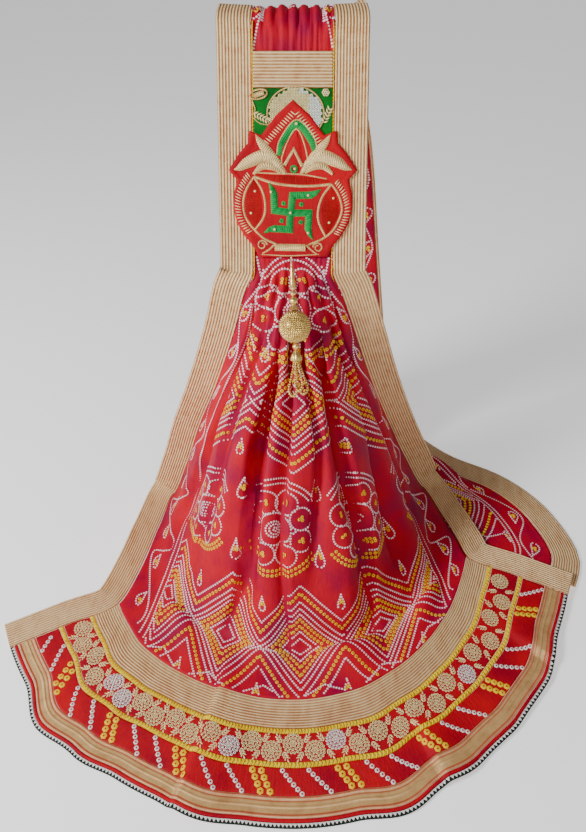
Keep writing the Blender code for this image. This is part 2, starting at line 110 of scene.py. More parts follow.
WAVES = (
    # along, across, height, half length, half width
    (0.212, -0.62, 0.013, 0.042, 0.22), (0.205, 0.24, 0.016, 0.038, 0.20), (0.210, 0.66, 0.014, 0.040, 0.16),
    (0.225, -0.12, 0.009, 0.040, 0.16), (1.798, 0.79, -0.038, 0.060, 0.19),
)
PLEATS = (
    # across, height, width of the slow side, width of the steep side, along where it has faded
    (-0.295, 0.0075, 0.200, 0.026, 0.200), (0.400, 0.0055, 0.120, 0.026, 0.110),
    (0.820, 0.0050, 0.100, 0.028, 0.100),
)
HEM_CORNERS = (
    # across, push outward
    (-0.74, 0.017), (-0.60, 0.008), (-0.24, 0.006),
    (0.28, 0.010), (0.47, 0.008), (0.62, 0.010), (0.76, 0.012),
)
print("rows of the drape:", len(ROWS))


# %% Curves and bumps
def hermite(x, xs, ys):
    """Cubic pieces through the table's rows; a row's slope is the harmonic mean of the slopes beside it."""
    step = np.diff(xs)
    slope = np.diff(ys, axis=0) / step[:, None]
    before, after = slope[:-1], slope[1:]
    turn = np.where(before * after > 0, 2 * before * after / (before + after + 1e-12), 0.0)
    tangent = np.vstack([slope[:1], turn, slope[-1:]])
    at = np.clip(np.searchsorted(xs, x, side="right") - 1, 0, len(xs) - 2)
    t = ((x - xs[at]) / step[at])[..., None]
    h = step[at][..., None]
    return (
        (2 * t**3 - 3 * t**2 + 1) * ys[at] + (t**3 - 2 * t**2 + t) * h * tangent[at]
        + (3 * t**2 - 2 * t**3) * ys[at + 1] + (t**3 - t**2) * h * tangent[at + 1]
    )


def bell(x):
    """Half a cosine wave: 1 at 0, falling to 0 at -1 and 1."""
    return np.where(np.abs(x) < 1, 0.5 + 0.5 * np.cos(math.pi * np.clip(x, -1, 1)), 0.0)


def ramp(x):
    """0 below 0, 1 above 1, and three t squared less two t cubed between."""
    t = np.clip(x, 0, 1)
    return t * t * (3 - 2 * t)


def unit(v):
    """The same directions, one long."""
    return v / np.linalg.norm(v, axis=-1, keepdims=True)


def arc_length(points):
    """The length of a line up to each of its points: a running sum of the distances between them."""
    return np.concatenate([[0], np.cumsum(np.linalg.norm(np.diff(points, axis=0), axis=1))])


def circle(sides):
    """Equal angles round a full turn."""
    return np.arange(sides) * 2 * math.pi / sides


# %% The draped surface
def draped(across, along):
    """A row is an arc of an ellipse: sine of the angle goes sideways, one less its cosine goes back."""
    row = hermite(along, ROWS[:, 0], ROWS[:, 1:])
    middle_x = hermite(along, MIDDLE_X[:, 0], MIDDLE_X[:, 1:])[..., 0]
    middle = np.stack([middle_x, row[..., 0], row[..., 1]], axis=-1)
    edge = np.where((across < 0)[..., None], row[..., 2:5], row[..., 5:8])
    arc = np.radians(row[..., 8])
    t = np.abs(across)
    sideways = np.sin(t * arc) / np.sin(arc)
    inward = (1 - np.cos(t * arc)) / (1 - np.cos(arc))
    p = middle + (edge - middle) * np.stack([sideways, inward, inward], axis=-1)
    fan = 1 - ramp(along / (HEM_DEPTH * 1.3))
    turn = across * np.radians(50)
    for corner, push in HEM_CORNERS:
        out = fan * push * bell((across - corner) / 0.13)
        p = p + np.stack([out * np.sin(turn), -out * np.cos(turn), np.zeros_like(out)], axis=-1)
    return p - ORIGIN


def relief(across, along):
    """The folds, waves, pleats, gathers and puckers: a sum of bells and cosines off the smooth drape."""
    out = np.zeros(np.broadcast(across, along).shape)
    for along_a, across_a, along_b, across_b, depth, half_width in FOLDS:
        share = (along - along_a) / (along_b - along_a)
        centre = across_a + (across_b - across_a) * share
        out = out - depth * ramp(share * 4) * ramp((1 - share) * 4) * bell((across - centre) / half_width)
    for at, where, height, half_length, half_width in WAVES:
        out = out + height * bell((along - at) / half_length) * bell((across - where) / half_width)
    for where, height, slow, steep, end in PLEATS:
        side = np.where(across > where, (across - where) / slow, (across - where) / steep)
        out = out + height * bell(side) * (1 - ramp((along - end + 0.05) / 0.05))
    flat_edge = 1 - across**8
    gathered = ramp((along - 0.50) / 0.17) * (1 - ramp((along - 0.700) / 0.022))
    out = out + 0.0022 * gathered * flat_edge * np.cos(9 * math.pi * across)
    puckered = ramp((along - 0.985) / 0.02) * (1 - ramp((along - 1.60) / 0.10))
    return out + 0.0016 * puckered * flat_edge * (np.cos(7 * math.pi * across) - 1)


def normals(surface, across, along, step=0.002):
    """The cross product of the slope across and the slope along."""
    over = surface(np.clip(across + step, -1, 1), along) - surface(np.clip(across - step, -1, 1), along)
    above, below = (np.clip(along + way * step, 0, CLOTH_END) for way in (1, -1))
    up = surface(across, above) - surface(across, below)
    return unit(np.cross(over, up))


def cloth(across, along):
    """The cloth's underside: the drape, moved along its normal by the relief, and kept above the floor."""
    across, along = np.broadcast_arrays(np.asarray(across, float), np.asarray(along, float))
    face = normals(draped, across, along)
    p = draped(across, along) + face * relief(across, along)[..., None]
    p[..., 2] = np.maximum(p[..., 2], 1.6 * FIELD_THICK * np.maximum(-face[..., 2], 0))
    return p


def side_lace(side, along, out):
    """A flat strip from the ground's edge, square to the edge's run and turned by the table's angle."""
    along, out = np.broadcast_arrays(np.asarray(along, float), np.asarray(out, float))
    edge = np.full(along.shape, float(side))
    above, below = (np.clip(along + step, 0, CLOTH_END) for step in (0.004, -0.004))
    run = unit(cloth(edge, above) - cloth(edge, below))
    turn = np.radians(hermite(along, ROWS[:, 0], ROWS[:, 10:])[..., 0 if side < 0 else 1])
    way = np.stack([side * np.cos(turn), np.sin(turn), np.zeros_like(turn)], axis=-1)
    way = unit(way - run * np.sum(way * run, axis=-1, keepdims=True))
    field_way = unit(cloth(edge, along) - cloth(edge * (1 - 2 / COLUMNS), along))
    cos = np.clip(np.sum(field_way * way, axis=-1), -1, 1)
    hinge = LACE_THICK * (np.sqrt(1 - cos**2) + 1.3 * np.maximum(-cos, 0)) + HINGE_SLACK * (1 - cos)
    p = cloth(edge, along) + field_way * hinge[..., None] + way * out[..., None]
    face = np.cross(way, run) * side
    p[..., 2] = np.maximum(p[..., 2], LACE_THICK * np.maximum(-face[..., 2], 0))
    return p, face


fold_top = cloth(np.array([0.0]), np.array([1.036]))[0]
print("top of the fold:", np.round(fold_top, 3))

# %% [markdown]
# ## Materials
# Cloth is colour, weave and nap. Each woven material reads the piece's own UV map, which is laid out in
# metres, so a 0.4 mm weave is 0.4 mm on every piece. Gold thread is a soft metal, flat foil wound on silk.


# %% Node helpers
def node(tree, kind, x=0, **values):
    """Adds one shader node and sets its named properties and input sockets."""
    made = tree.nodes.new(kind)
    made.location.x = x
    for key, value in values.items():
        if hasattr(made, key):
            setattr(made, key, value)
        else:
            made.inputs[key.replace("_", " ")].default_value = value
    return made


def start_material(name, colour, rough, metal=0.0, sheen=0.0):
    """A Principled material whose constants sit on the shader's own sockets."""
    material = bpy.data.materials.new(name)
    material.use_nodes = True
    tree = material.node_tree
    shader = tree.nodes["Principled BSDF"]
    shader.inputs["Base Color"].default_value = (*colour, 1)
    shader.inputs["Roughness"].default_value = rough
    shader.inputs["Metallic"].default_value = metal
    shader.inputs["Sheen Weight"].default_value = sheen
    shader.inputs["Sheen Roughness"].default_value = 0.4
    shader.inputs["Specular IOR Level"].default_value = 0.5 if metal else 0.18
    return material, tree, shader


def mapped(tree, size, turn=0.0, coords="UV"):
    """The piece's UV map in metres, or its Object coordinates, scaled so that one unit is `size` metres."""
    source = node(tree, "ShaderNodeTexCoord", -1200)
    mapping = node(tree, "ShaderNodeMapping", -1000)
    mapping.inputs["Scale"].default_value = (1 / size[0], 1 / size[1], 1 / size[0])
    mapping.inputs["Rotation"].default_value = (0, 0, turn)
    tree.links.new(source.outputs[coords], mapping.inputs["Vector"])
    return mapping.outputs["Vector"]


def colour_ramp(tree, factor, colours, stops):
    """Colours along a ramp, driven by a pattern between 0 and 1."""
    ramp_node = node(tree, "ShaderNodeValToRGB", -500)
    elements = ramp_node.color_ramp.elements
    while len(elements) < len(colours):
        elements.new(0.5)
    for element, colour, stop in zip(elements, colours, stops):
        element.position, element.color = stop, (*colour, 1)
    tree.links.new(factor, ramp_node.inputs["Fac"])
    return ramp_node.outputs["Color"]


def tint(tree, shader, factor, colours, stops):
    """A ramp of colours into the shader's base colour."""
    tree.links.new(colour_ramp(tree, factor, colours, stops), shader.inputs["Base Color"])


def bump(tree, shader, height, depth, strength=1.0, under=None):
    """Raises a pattern into the shading, `depth` metres high, on top of another bump if one is given."""
    made = node(tree, "ShaderNodeBump", -200)
    made.inputs["Distance"].default_value = depth
    made.inputs["Strength"].default_value = strength
    tree.links.new(height, made.inputs["Height"])
    if under is not None:
        tree.links.new(under.outputs["Normal"], made.inputs["Normal"])
    tree.links.new(made.outputs["Normal"], shader.inputs["Normal"])
    return made


def noise(tree, vector, detail=3.0, rough=0.55):
    """A cloudy pattern on the given coordinates."""
    made = node(tree, "ShaderNodeTexNoise", -700)
    made.inputs["Scale"].default_value = 1.0
    made.inputs["Detail"].default_value = detail
    made.inputs["Roughness"].default_value = rough
    tree.links.new(vector, made.inputs["Vector"])
    return made.outputs["Fac"]


def stripes(tree, vector, along="X", bend=0.0):
    """Sine stripes, one for each unit along the given axis, with a little wander."""
    made = node(tree, "ShaderNodeTexWave", -700)
    made.bands_direction = along
    made.inputs["Scale"].default_value = 1 / 3.18
    made.inputs["Distortion"].default_value = bend
    made.inputs["Detail"].default_value = 0.0
    tree.links.new(vector, made.inputs["Vector"])
    return made.outputs["Fac"]


# %% Cloth materials
def cloth_material(name, colours, crinkle=0.0006, weave=0.0004, rough=0.62):
    """Colours drift by a cloud 60 mm across, fine slubs run with the warp, and threads cross at `weave`."""
    material, tree, shader = start_material(name, colours[1], rough, sheen=0.02)
    cloud = noise(tree, mapped(tree, (0.06, 0.06), coords="Object"), detail=5.0)
    tint(tree, shader, cloud, colours, (0.30, 0.52, 0.72))
    crushed = noise(tree, mapped(tree, (0.004, 0.012)), detail=4.0, rough=0.6)
    creases = bump(tree, shader, crushed, crinkle)
    thread_u = stripes(tree, mapped(tree, (weave, weave)), "X")
    thread_v = stripes(tree, mapped(tree, (weave, weave)), "Y")
    crossed = node(tree, "ShaderNodeMath", -450, operation="MULTIPLY")
    tree.links.new(thread_u, crossed.inputs[0])
    tree.links.new(thread_v, crossed.inputs[1])
    bump(tree, shader, crossed.outputs[0], weave * 0.25, 0.5, creases)
    return material


georgette = cloth_material("georgette", ((0.26, 0.0, 0.050), (0.50, 0.0, 0.022), (0.62, 0.0, 0.016)))
red_cloth = cloth_material("red_cloth", ((0.32, 0.0, 0.016), (0.49, 0.0, 0.011), (0.60, 0.0, 0.008)), 0.0008)
patch_reds = (0.34, 0.0, 0.010), (0.52, 0.0, 0.008), (0.64, 0.0, 0.006)
patch_cloth = cloth_material("patch_cloth", patch_reds, 0.0006, 0.0012)
deep_reds = (0.20, 0.0, 0.002), (0.36, 0.0, 0.002), (0.50, 0.0, 0.003)
deep_red = cloth_material("deep_red", deep_reds, 0.0010, 0.0016)
greens = (0.0, 0.07, 0.006), (0.0, 0.16, 0.012), (0.004, 0.24, 0.02)
brocade = cloth_material("brocade", greens, 0.0002, 0.0005, 0.45)


# %% Thread, lace and bead materials
def thread_material(name, dark, light, rough=0.42, metal=0.35, twist=0.0011, sheen=0.1):
    """Wound thread: slanting stripes one `twist` apart, painted darker in their grooves as shade, over a slow
    change of the thread's own tone.
    """
    material, tree, shader = start_material(name, light, rough, metal, sheen)
    slant = stripes(tree, mapped(tree, (twist, twist), math.radians(32)), "X", 0.6)
    cloud = noise(tree, mapped(tree, (0.012, 0.012), coords="Object"), detail=4.0)
    mixed = node(tree, "ShaderNodeMath", -450, operation="MULTIPLY_ADD")
    mixed.inputs[1].default_value = 0.55
    tree.links.new(slant, mixed.inputs[0])
    tree.links.new(cloud, mixed.inputs[2])
    middle = tuple((a + b) / 2 for a, b in zip(dark, light))
    # Painted shade: the dark colour falls in the grooves of the twist; the cloud's slow drift is the thread's
    # own tone.
    tint(tree, shader, mixed.outputs[0], (dark, middle, light), (0.25, 0.62, 0.98))
    bump(tree, shader, slant, twist * 0.22, 0.7)
    return material


def banded(material, start, width, colours, stops):
    """Multiplies a strip's colour by bands along its second UV axis, from `start` over `width` metres."""
    tree = material.node_tree
    shader = tree.nodes["Principled BSDF"]
    coords = mapped(tree, (width, width))
    coords.node.inputs["Location"].default_value = (0, -start / width, 0)
    split = node(tree, "ShaderNodeSeparateXYZ", -800)
    tree.links.new(coords, split.inputs[0])
    mix = node(tree, "ShaderNodeMix", -100, data_type="RGBA", blend_type="MULTIPLY")
    mix.inputs["Factor"].default_value = 1.0
    tree.links.new(shader.inputs["Base Color"].links[0].from_socket, mix.inputs["A"])
    tree.links.new(colour_ramp(tree, split.outputs["Y"], colours, stops), mix.inputs["B"])
    tree.links.new(mix.outputs["Result"], shader.inputs["Base Color"])


def plain_thread(name, colour, rough=0.5, metal=0.0, spread=0.25):
    """Small stitched shapes: one colour that a cloud 3 mm across makes lighter and darker."""
    material, tree, shader = start_material(name, colour, rough, metal, 0.1)
    cloud = noise(tree, mapped(tree, (0.003, 0.003), coords="Object"), detail=3.0)
    low = tuple(c * (1 - spread) for c in colour)
    high = tuple(min(1.0, c * (1 + spread)) for c in colour)
    tint(tree, shader, cloud, (low, colour, high), (0.30, 0.50, 0.70))
    bump(tree, shader, cloud, 0.0003, 0.4)
    return material


def lace_material(name, groove_shade, dark, light, cord):
    """Corded lace: grooves one `cord` apart across the strip, the ladder of stitches over the cords, and
    painted shade in the grooves.
    """
    material, tree, shader = start_material(name, light, 0.42, 0.15, 0.02)
    cords = stripes(tree, mapped(tree, (cord, cord)), "X")
    ladder = stripes(tree, mapped(tree, (0.0013, 0.0013)), "Y", 0.8)
    cloud = noise(tree, mapped(tree, (0.010, 0.030), coords="Object"), detail=5.0)
    both = node(tree, "ShaderNodeMath", -550, operation="MULTIPLY_ADD")
    both.inputs[1].default_value = 0.30
    tree.links.new(ladder, both.inputs[0])
    tree.links.new(cords, both.inputs[2])
    mixed = node(tree, "ShaderNodeMath", -450, operation="MULTIPLY")
    tree.links.new(both.outputs[0], mixed.inputs[0])
    tree.links.new(cloud, mixed.inputs[1])
    # Painted shade: the groove colour, and the dark one on the cords' flanks, fall where the cords dip; the
    # cloud is the lace's own tone.
    tint(tree, shader, mixed.outputs[0], (groove_shade, dark, light), (0.05, 0.19, 0.44))
    under = bump(tree, shader, cords, 0.0009, 1.0)
    bump(tree, shader, ladder, 0.0003, 0.6, under)
    return material


CORDS = 11
# The first of these colours is painted shade for the lace's grooves; the other two are its gold.
lace_golds_and_shade = (0.36, 0.08, 0.018), (0.84, 0.46, 0.17), (1.0, 0.75, 0.41)
corded_gold = lace_material("corded_gold", *lace_golds_and_shade, LACE_WIDTH / CORDS)
ZARI_START, ZARI_WIDTH = 0.0112, 0.0246
# Each wound thread's first colour is painted shade for the grooves of its twist.
zari_gold = thread_material("zari_gold", (0.46, 0.22, 0.08), (0.92, 0.64, 0.32), 0.42, 0.20, 0.0009)
PALE, PINK, BEIGE = (1.0, 1.0, 1.0), (0.75, 0.16, 0.10), (0.86, 0.78, 0.62)
zari_bands = PALE, PINK, BEIGE, BEIGE, PINK, PALE, PINK, PALE
banded(zari_gold, ZARI_START, ZARI_WIDTH, zari_bands, (0.0, 0.155, 0.215, 0.70, 0.765, 0.82, 0.945, 1.0))
# The braid's orange is painted shade in its grooves; its yellow is the thread's own colour.
yellow_braid = thread_material("yellow_braid", (0.62, 0.16, 0.0), (1.0, 0.78, 0.01), 0.60, 0.0, 0.0034)
bullion = thread_material("bullion", (0.22, 0.07, 0.012), (0.92, 0.62, 0.24), 0.40, 0.35, 0.0018)
green_silk = thread_material("green_silk", (0.0, 0.08, 0.012), (0.0, 0.44, 0.08), 0.50, 0.0, 0.0018)
dark_edging = plain_thread("dark_edging", (0.010, 0.018, 0.012), 0.7)
white_thread = plain_thread("white_thread", (0.90, 0.87, 0.82), 0.6, spread=0.08)
dyed_white = plain_thread("dyed_white", (1.0, 0.70, 0.74), 0.7, spread=0.2)
dyed_yellow = plain_thread("dyed_yellow", (1.0, 0.60, 0.01), 0.7, spread=0.2)
pale_stitch = plain_thread("pale_stitch", (1.0, 0.74, 0.36), 0.45, 0.2, 0.2)
dyed_heart = plain_thread("dyed_heart", (0.45, 0.004, 0.016), 0.7)
sequin_gold = plain_thread("sequin_gold", (1.0, 0.76, 0.36), 0.34, 0.12, 0.3)
sequin_white = plain_thread("sequin_white", (1.0, 0.97, 0.90), 0.35, 0.3, 0.06)
antique_gold = plain_thread("antique_gold", (0.80, 0.54, 0.17), 0.26, 0.80, 0.4)
print("materials:", len(bpy.data.materials))

# %% [markdown]
# ## Sheets with a real thickness
# A woven strip is two grids, its outer face and its underside, closed by a rim. The relief that makes a cord
# or a braid is added to the outer face only. UVs are in metres, so the weave runs true.


# %% Building a closed strip
made_pieces = []


def own(obj, replaces=()):
    """Every piece rides on the one body and may stand for a CAD node."""
    obj.data.shade_smooth()
    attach(obj, "root")
    for name in replaces:
        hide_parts(name)
    made_pieces.append(obj)
    return obj


def new_mesh(name, points, faces, material, uv=None):
    """Puts arrays of points and faces into a mesh; `uv` has one row for each point."""
    mesh = bpy.data.meshes.new(name)
    faces = faces if isinstance(faces, list) else faces.tolist()
    mesh.from_pydata(np.asarray(points).reshape(-1, 3).tolist(), [], faces)
    if uv is not None:
        layer = mesh.uv_layers.new(name="UVMap")
        corner = np.empty(len(mesh.loops), int)
        mesh.loops.foreach_get("vertex_index", corner)
        layer.data.foreach_set("uv", np.asarray(uv, float).reshape(-1, 2)[corner].ravel())
    mesh.materials.append(material)
    obj = bpy.data.objects.new(name, mesh)
    bpy.context.scene.collection.objects.link(obj)
    return obj


def closed_sheet(name, lower, upper, u, v, material):
    """Quads on both faces and round the rim; u and v are grids of metres for the UV map."""
    rows, columns = lower.shape[:2]
    index = np.arange(rows * columns).reshape(rows, columns)
    high = rows * columns
    a, b, c, d = (g.ravel() for g in (index[:-1, :-1], index[:-1, 1:], index[1:, 1:], index[1:, :-1]))
    ring = np.concatenate([index[0, :], index[1:, -1], index[-1, -2::-1], index[-2:0:-1, 0]])
    after = np.roll(ring, -1)
    faces = np.vstack([
        np.stack([a, b, c, d], 1) + high,
        np.stack([a, d, c, b], 1),
        np.stack([ring, after, after + high, ring + high], 1),
    ])
    uv = np.tile(np.stack([u.ravel(), v.ravel()], 1), (2, 1))
    return new_mesh(name, np.vstack([lower.reshape(-1, 3), upper.reshape(-1, 3)]), faces, material, uv)


def capped_rings(rings, sides):
    """Faces of stacked rings of points, closed by two poles: the first after the points, then the second."""
    index = np.arange(rings * sides).reshape(rings, sides)
    after = np.roll(index, -1, axis=1)
    faces = np.stack([index[:-1], after[:-1], after[1:], index[1:]], -1).reshape(-1, 4).tolist()
    faces += np.stack([after[0], index[0], np.full(sides, index.size)], 1).tolist()
    return faces + np.stack([index[-1], after[-1], np.full(sides, index.size + 1)], 1).tolist()


STRIP_SCALE = 0.62


def cloth_strip(name, across, along, thick, material, shape=None, lift=0.0, scale=STRIP_SCALE, turned=False):
    """A strip of the drape's own surface. `shape(u, v)` is the height of its outer face over `thick`. A lace
    whose cords run across the drape has its UV map turned, so that they run up it as in any lace."""
    across, along = np.meshgrid(across, along)
    low = cloth(across, along)
    face = normals(cloth, across, along)
    u, v = across * scale, along
    rise = thick + (shape(u, v) if shape else 0.0)
    rise = np.broadcast_to(rise, across.shape)[..., None]
    if turned:
        u, v = v - v.min(), u
    return closed_sheet(name, low + face * lift, low + face * (lift + rise), u, v, material)


EDGE = 1 - GAP / 0.2

# %% [markdown]
# ## The camera and the studio
# The photograph looks down at 40 degrees from above the hem. The floor is plain and pale. One key light, two
# weak ones and an even sky give the soft shadows of a studio.

# %% Camera, lights and floor
camera_data = bpy.data.cameras.new("camera")
camera_data.sensor_width = 36
camera_data.lens = 700 / 832 * 36
camera = bpy.data.objects.new("camera", camera_data)
camera.location = np.array((0.0, -0.391, 0.85)) - ORIGIN
camera.rotation_euler = (math.radians(50), 0, 0)
bpy.context.scene.collection.objects.link(camera)
bpy.context.scene.camera = camera


def area_light(name, place, target, size, power):
    """A square soft light that looks at its target."""
    data = bpy.data.lights.new(name, "AREA")
    data.size, data.energy = size, power
    light = bpy.data.objects.new(name, data)
    light.location = place
    way = np.array(target) - np.array(place)
    flat = math.hypot(way[0], way[1])
    light.rotation_euler = (math.atan2(flat, -way[2]), 0, math.atan2(way[1], way[0]) - math.pi / 2)
    bpy.context.scene.collection.objects.link(light)


area_light("key", (-1.6, -0.7, 1.5), (0, 0, 0.2), 0.6, 52)
area_light("fill", (1.5, -0.9, 1.3), (0, 0, 0.3), 1.6, 3)
area_light("front", (0.0, -1.5, 0.9), (0, 0, 0.3), 1.2, 5)
world = bpy.data.worlds.new("studio")
world.use_nodes = True
world.node_tree.nodes["Background"].inputs["Color"].default_value = (1.0, 1.0, 1.0, 1)
world.node_tree.nodes["Background"].inputs["Strength"].default_value = 0.17
bpy.context.scene.world = world

floor_material, _, floor_shader = start_material("studio_floor", (0.96, 0.96, 0.96), 0.9)
floor_shader.inputs["Emission Color"].default_value = (1, 1, 1, 1)
floor_shader.inputs["Emission Strength"].default_value = 0.58
FLOOR_HALF = 40
floor_corners = np.array([(-1, -1, 0), (1, -1, 0), (1, 1, 0), (-1, 1, 0)]) * FLOOR_HALF - (0, 0, 0.001)
floor = new_mesh("floor", floor_corners, [(0, 1, 2, 3)], floor_material)
print("camera at", np.round(camera.location[:], 3))

# %% [markdown]
# ## The red ground
# One long sheet of georgette. Its fine crinkles are too many to be folds, so they are a relief of slow sines
# that wander across the drape, while the crushed weave is left to the material.


# %% The red ground
GROUND_SCALE = 0.31


def crinkle(u, v):
    """Soft wrinkles: products of sines whose phases drift with each other, fading at the floor's flat fan."""
    wander = 0.7 * np.sin(9 * u + 5 * v) + 0.5 * np.sin(23 * v - 7 * u)
    long_ones = np.sin(88 * u + 5 * wander) * np.sin(17 * v + 3 * wander)
    short_ones = np.sin(61 * v + 47 * u + 4 * wander) * np.sin(130 * u - 20 * v)
    return 0.0007 * long_ones + 0.0004 * short_ones


# Pleats of the hanging front: each drops steeply on one side, as a fold that laps over its neighbour does
FRONT_PLEATS = (
    # across at the head, across at the foot, depth, slow width, steep width, along where it ends
    (-0.74, -0.80, 0.014, 0.130, 0.030, 0.22), (-0.50, -0.58, 0.012, 0.120, 0.026, 0.24),
    (-0.24, -0.34, 0.026, 0.150, 0.026, 0.19), (-0.02, -0.04, 0.017, 0.120, -0.022, 0.17),
    (0.16, 0.10, 0.012, 0.090, 0.024, 0.30), (0.38, 0.36, 0.026, 0.140, -0.026, 0.19),
    (0.60, 0.54, 0.018, 0.120, 0.028, 0.22), (0.80, 0.80, 0.012, 0.100, -0.026, 0.24),
)


def front_pleats(across, along):
    """Valleys beside rounded crests: a bell that is slow on one side and steep on the other, the side that a
    negative steep width turns round. Each widens downwards and fades at both ends."""
    out = np.zeros(across.shape)
    for head, foot, depth, slow, steep, end in FRONT_PLEATS:
        share = np.clip((0.69 - along) / (0.69 - end), 0, 1)
        centre = head + (foot - head) * share + 0.02 * np.sin(9 * share + 20 * head)
        place = (across - centre) * math.copysign(1, steep)
        valley = bell(np.where(place > 0, place / slow, place / abs(steep)) / (0.8 + 0.4 * share))
        out = out - depth * valley * ramp(share * 6) * ramp((1 - share) * 3)
    return out


def ground_relief(across, along):
    """What stands over the drape on the ground's outer face: its pleats and its crinkles."""
    return front_pleats(across, along) + crinkle(across * GROUND_SCALE, along)


def ground_top(across, along):
    """The ground's outer face: the cloth moved along its normal by the relief and its own thickness."""
    across, along = np.broadcast_arrays(np.asarray(across, float), np.asarray(along, float))
    height = ground_relief(across, along) + FIELD_THICK
    raised = cloth(across, along) + normals(cloth, across, along) * height[..., None]
    raised[..., 2] = np.maximum(raised[..., 2], FIELD_THICK)
    return raised


def spread(*stretches):
    """Rows joined end to end; each stretch is (from, to, number of steps)."""
    rows = [np.linspace(a, b, n, endpoint=False) for a, b, n in stretches]
    return np.append(np.concatenate(rows), stretches[-1][1])


field_across = np.linspace(-EDGE, EDGE, 109)
field_along = spread((HEM_DEPTH + GAP, 0.70, 175), (0.70, 1.16, 90), (1.16, 1.64, 36), (1.64, CLOTH_END, 66))
across, along = np.meshgrid(field_across, field_along)
face = normals(cloth, across, along)
middle = cloth(across, along) + face * ground_relief(across, along)[..., None]
middle[..., 2] = np.maximum(middle[..., 2], 0.0)
field = closed_sheet(
    "field_cloth_draped", middle, middle + face * FIELD_THICK, across * GROUND_SCALE, along, georgette,
)
own(field, ["field_cloth"])
print("red ground:", len(field.data.polygons), "faces")

# %% [markdown]
# ## Corded lace
# The lace is eleven soft cords side by side, stitched over a tape. Across the strip its height is a row of
# half rounds, and the twist of each cord is in the material.

# %% Corded lace
CORD_HEIGHT = 0.0009


def corded(share):
    """Half rounds side by side: the root of one less the square of the place within the cord."""
    place = (share * CORDS) % 1.0 * 2 - 1
    return CORD_HEIGHT * np.sqrt(np.clip(1 - place**2, 0, 1)) - CORD_HEIGHT * 0.6


def cord_rows(low, high, each=4):
    """Rows across a lace, `each` of them on every cord."""
    return low + (high - low) * np.linspace(0, 1, CORDS * each + 1)


lace_along = np.append(np.linspace(0, HEM_DEPTH, 60, endpoint=False), field_along[::2])
for side, name in ((-1, "lace_left"), (1, "lace_right")):
    along, out = np.meshgrid(lace_along, cord_rows(GAP, LACE_WIDTH), indexing="ij")
    low, face = side_lace(side, along, out)
    high = low + face * (LACE_THICK + corded(out / LACE_WIDTH))[..., None]
    if side < 0:
        low, high, along, out = (g[:, ::-1] for g in (low, high, along, out))
    lace = closed_sheet(name + "_corded", low, high, out, along, corded_gold)
    own(lace, [name])
print("side laces:", len(made_pieces[-1].data.polygons), "faces each")

# %% [markdown]
# ## The fan's border
# From the hem inward the maker sewed a picot edge, red piping, a woven zari lace, a band of dyed ground,
# yellow braid, the embroidered band, a second braid and one more corded lace. Each strip has its own relief.


# %% Reliefs of the border strips
PIPING_START, PIPING_WIDTH = 0.0062, 0.0046
BRAID_WIDTH, BRAID_LOOP = 0.0066, 0.0068
HEM_LACE_START, HEM_LACE_WIDTH = 0.1212, 0.0386


def hem_relief(u, v):
    """The hem lace's cords run round the fan."""
    return corded((v - HEM_LACE_START) / HEM_LACE_WIDTH)


def braid(start):
    """Rows of loops that lean back from the strip's middle: a sine along it, times a half round across it."""
    def height(u, v):
        place = (v - start) / BRAID_WIDTH * 2 - 1
        loops = np.abs(np.sin(math.pi * (u / BRAID_LOOP + 0.36 * np.abs(place))))
        return 0.0022 * loops * np.sqrt(np.clip(1 - place**2, 0, 1)) - 0.0006
    return height


def zari_relief(u, v):
    """Three pale raised cords along the lace, and small lozenges between them."""
    place = (v - ZARI_START) / ZARI_WIDTH
    cords = sum(bell((place - centre) / 0.09) for centre in (0.08, 0.50, 0.92))
    lozenges = np.cos(2 * math.pi * u / 0.0064) * np.cos(math.pi * (place - 0.29) / 0.20)
    lozenges = lozenges * bell((place - 0.29) / 0.2) + np.abs(lozenges) * bell((place - 0.71) / 0.2)
    return 0.0009 * cords + 0.0003 * lozenges


def piping_relief(u, v):
    """A round cord under folded cloth, with the faint puckers of its stitches."""
    place = (v - PIPING_START) / PIPING_WIDTH * 2 - 1
    return 0.0009 * np.sqrt(np.clip(1 - place**2, 0, 1)) * (1 + 0.12 * np.sin(2 * math.pi * u / 0.006))


def soft_relief(u, v):
    """Gentle puckers of a lined band."""
    return 0.0004 * np.sin(60 * u + 2 * np.sin(31 * v)) * np.sin(70 * v + 9 * u)


BORDER_THICK = 0.0015
BAND_THICK = 0.0016
PICOT_THICK = 0.0018
BORDER = (
    # node, start, end, thickness, material, slot, rows, columns, relief
    ("picot_edge", 0.0002, 0.0058, PICOT_THICK, dark_edging, "white_picot", 4, 200, None),
    ("piping", 0.0062, 0.0108, 0.0014, red_cloth, "red_ground", 8, 700, piping_relief),
    ("zari_lace", 0.0112, 0.0358, 0.0016, zari_gold, "zari_lace", 30, 500, zari_relief),
    ("border_ground", 0.0362, 0.0698, BORDER_THICK, red_cloth, "red_ground", 16, 300, soft_relief),
    ("outer_trim", 0.0702, 0.0768, 0.0020, yellow_braid, "yellow_trim", 10, 1000, braid(0.0702)),
    ("embroidered_band", 0.0772, 0.1138, BAND_THICK, red_cloth, "red_ground", 16, 300, soft_relief),
    ("inner_trim", 0.1142, 0.1208, 0.0020, yellow_braid, "yellow_trim", 10, 1000, braid(0.1142)),
    ("hem_lace", 0.1212, 0.1598, LACE_THICK, corded_gold, "corded_lace", 45, 380, hem_relief),
)
for name, start, end, thick, material, slot, rows, columns, shape in BORDER:
    strip = cloth_strip(
        name + "_sewn", np.linspace(-EDGE, EDGE, columns), np.linspace(start, end, rows),
        thick, material, shape, turned=name == "hem_lace",
    )
    own(strip, [name])
print("border strips:", len(BORDER))

# %% [markdown]
# ## The head of the drape
# Between the side laces a panel of green brocade is sewn on, a corded lace runs across its head, and a narrow
# yellow binding covers the seam of each side lace.

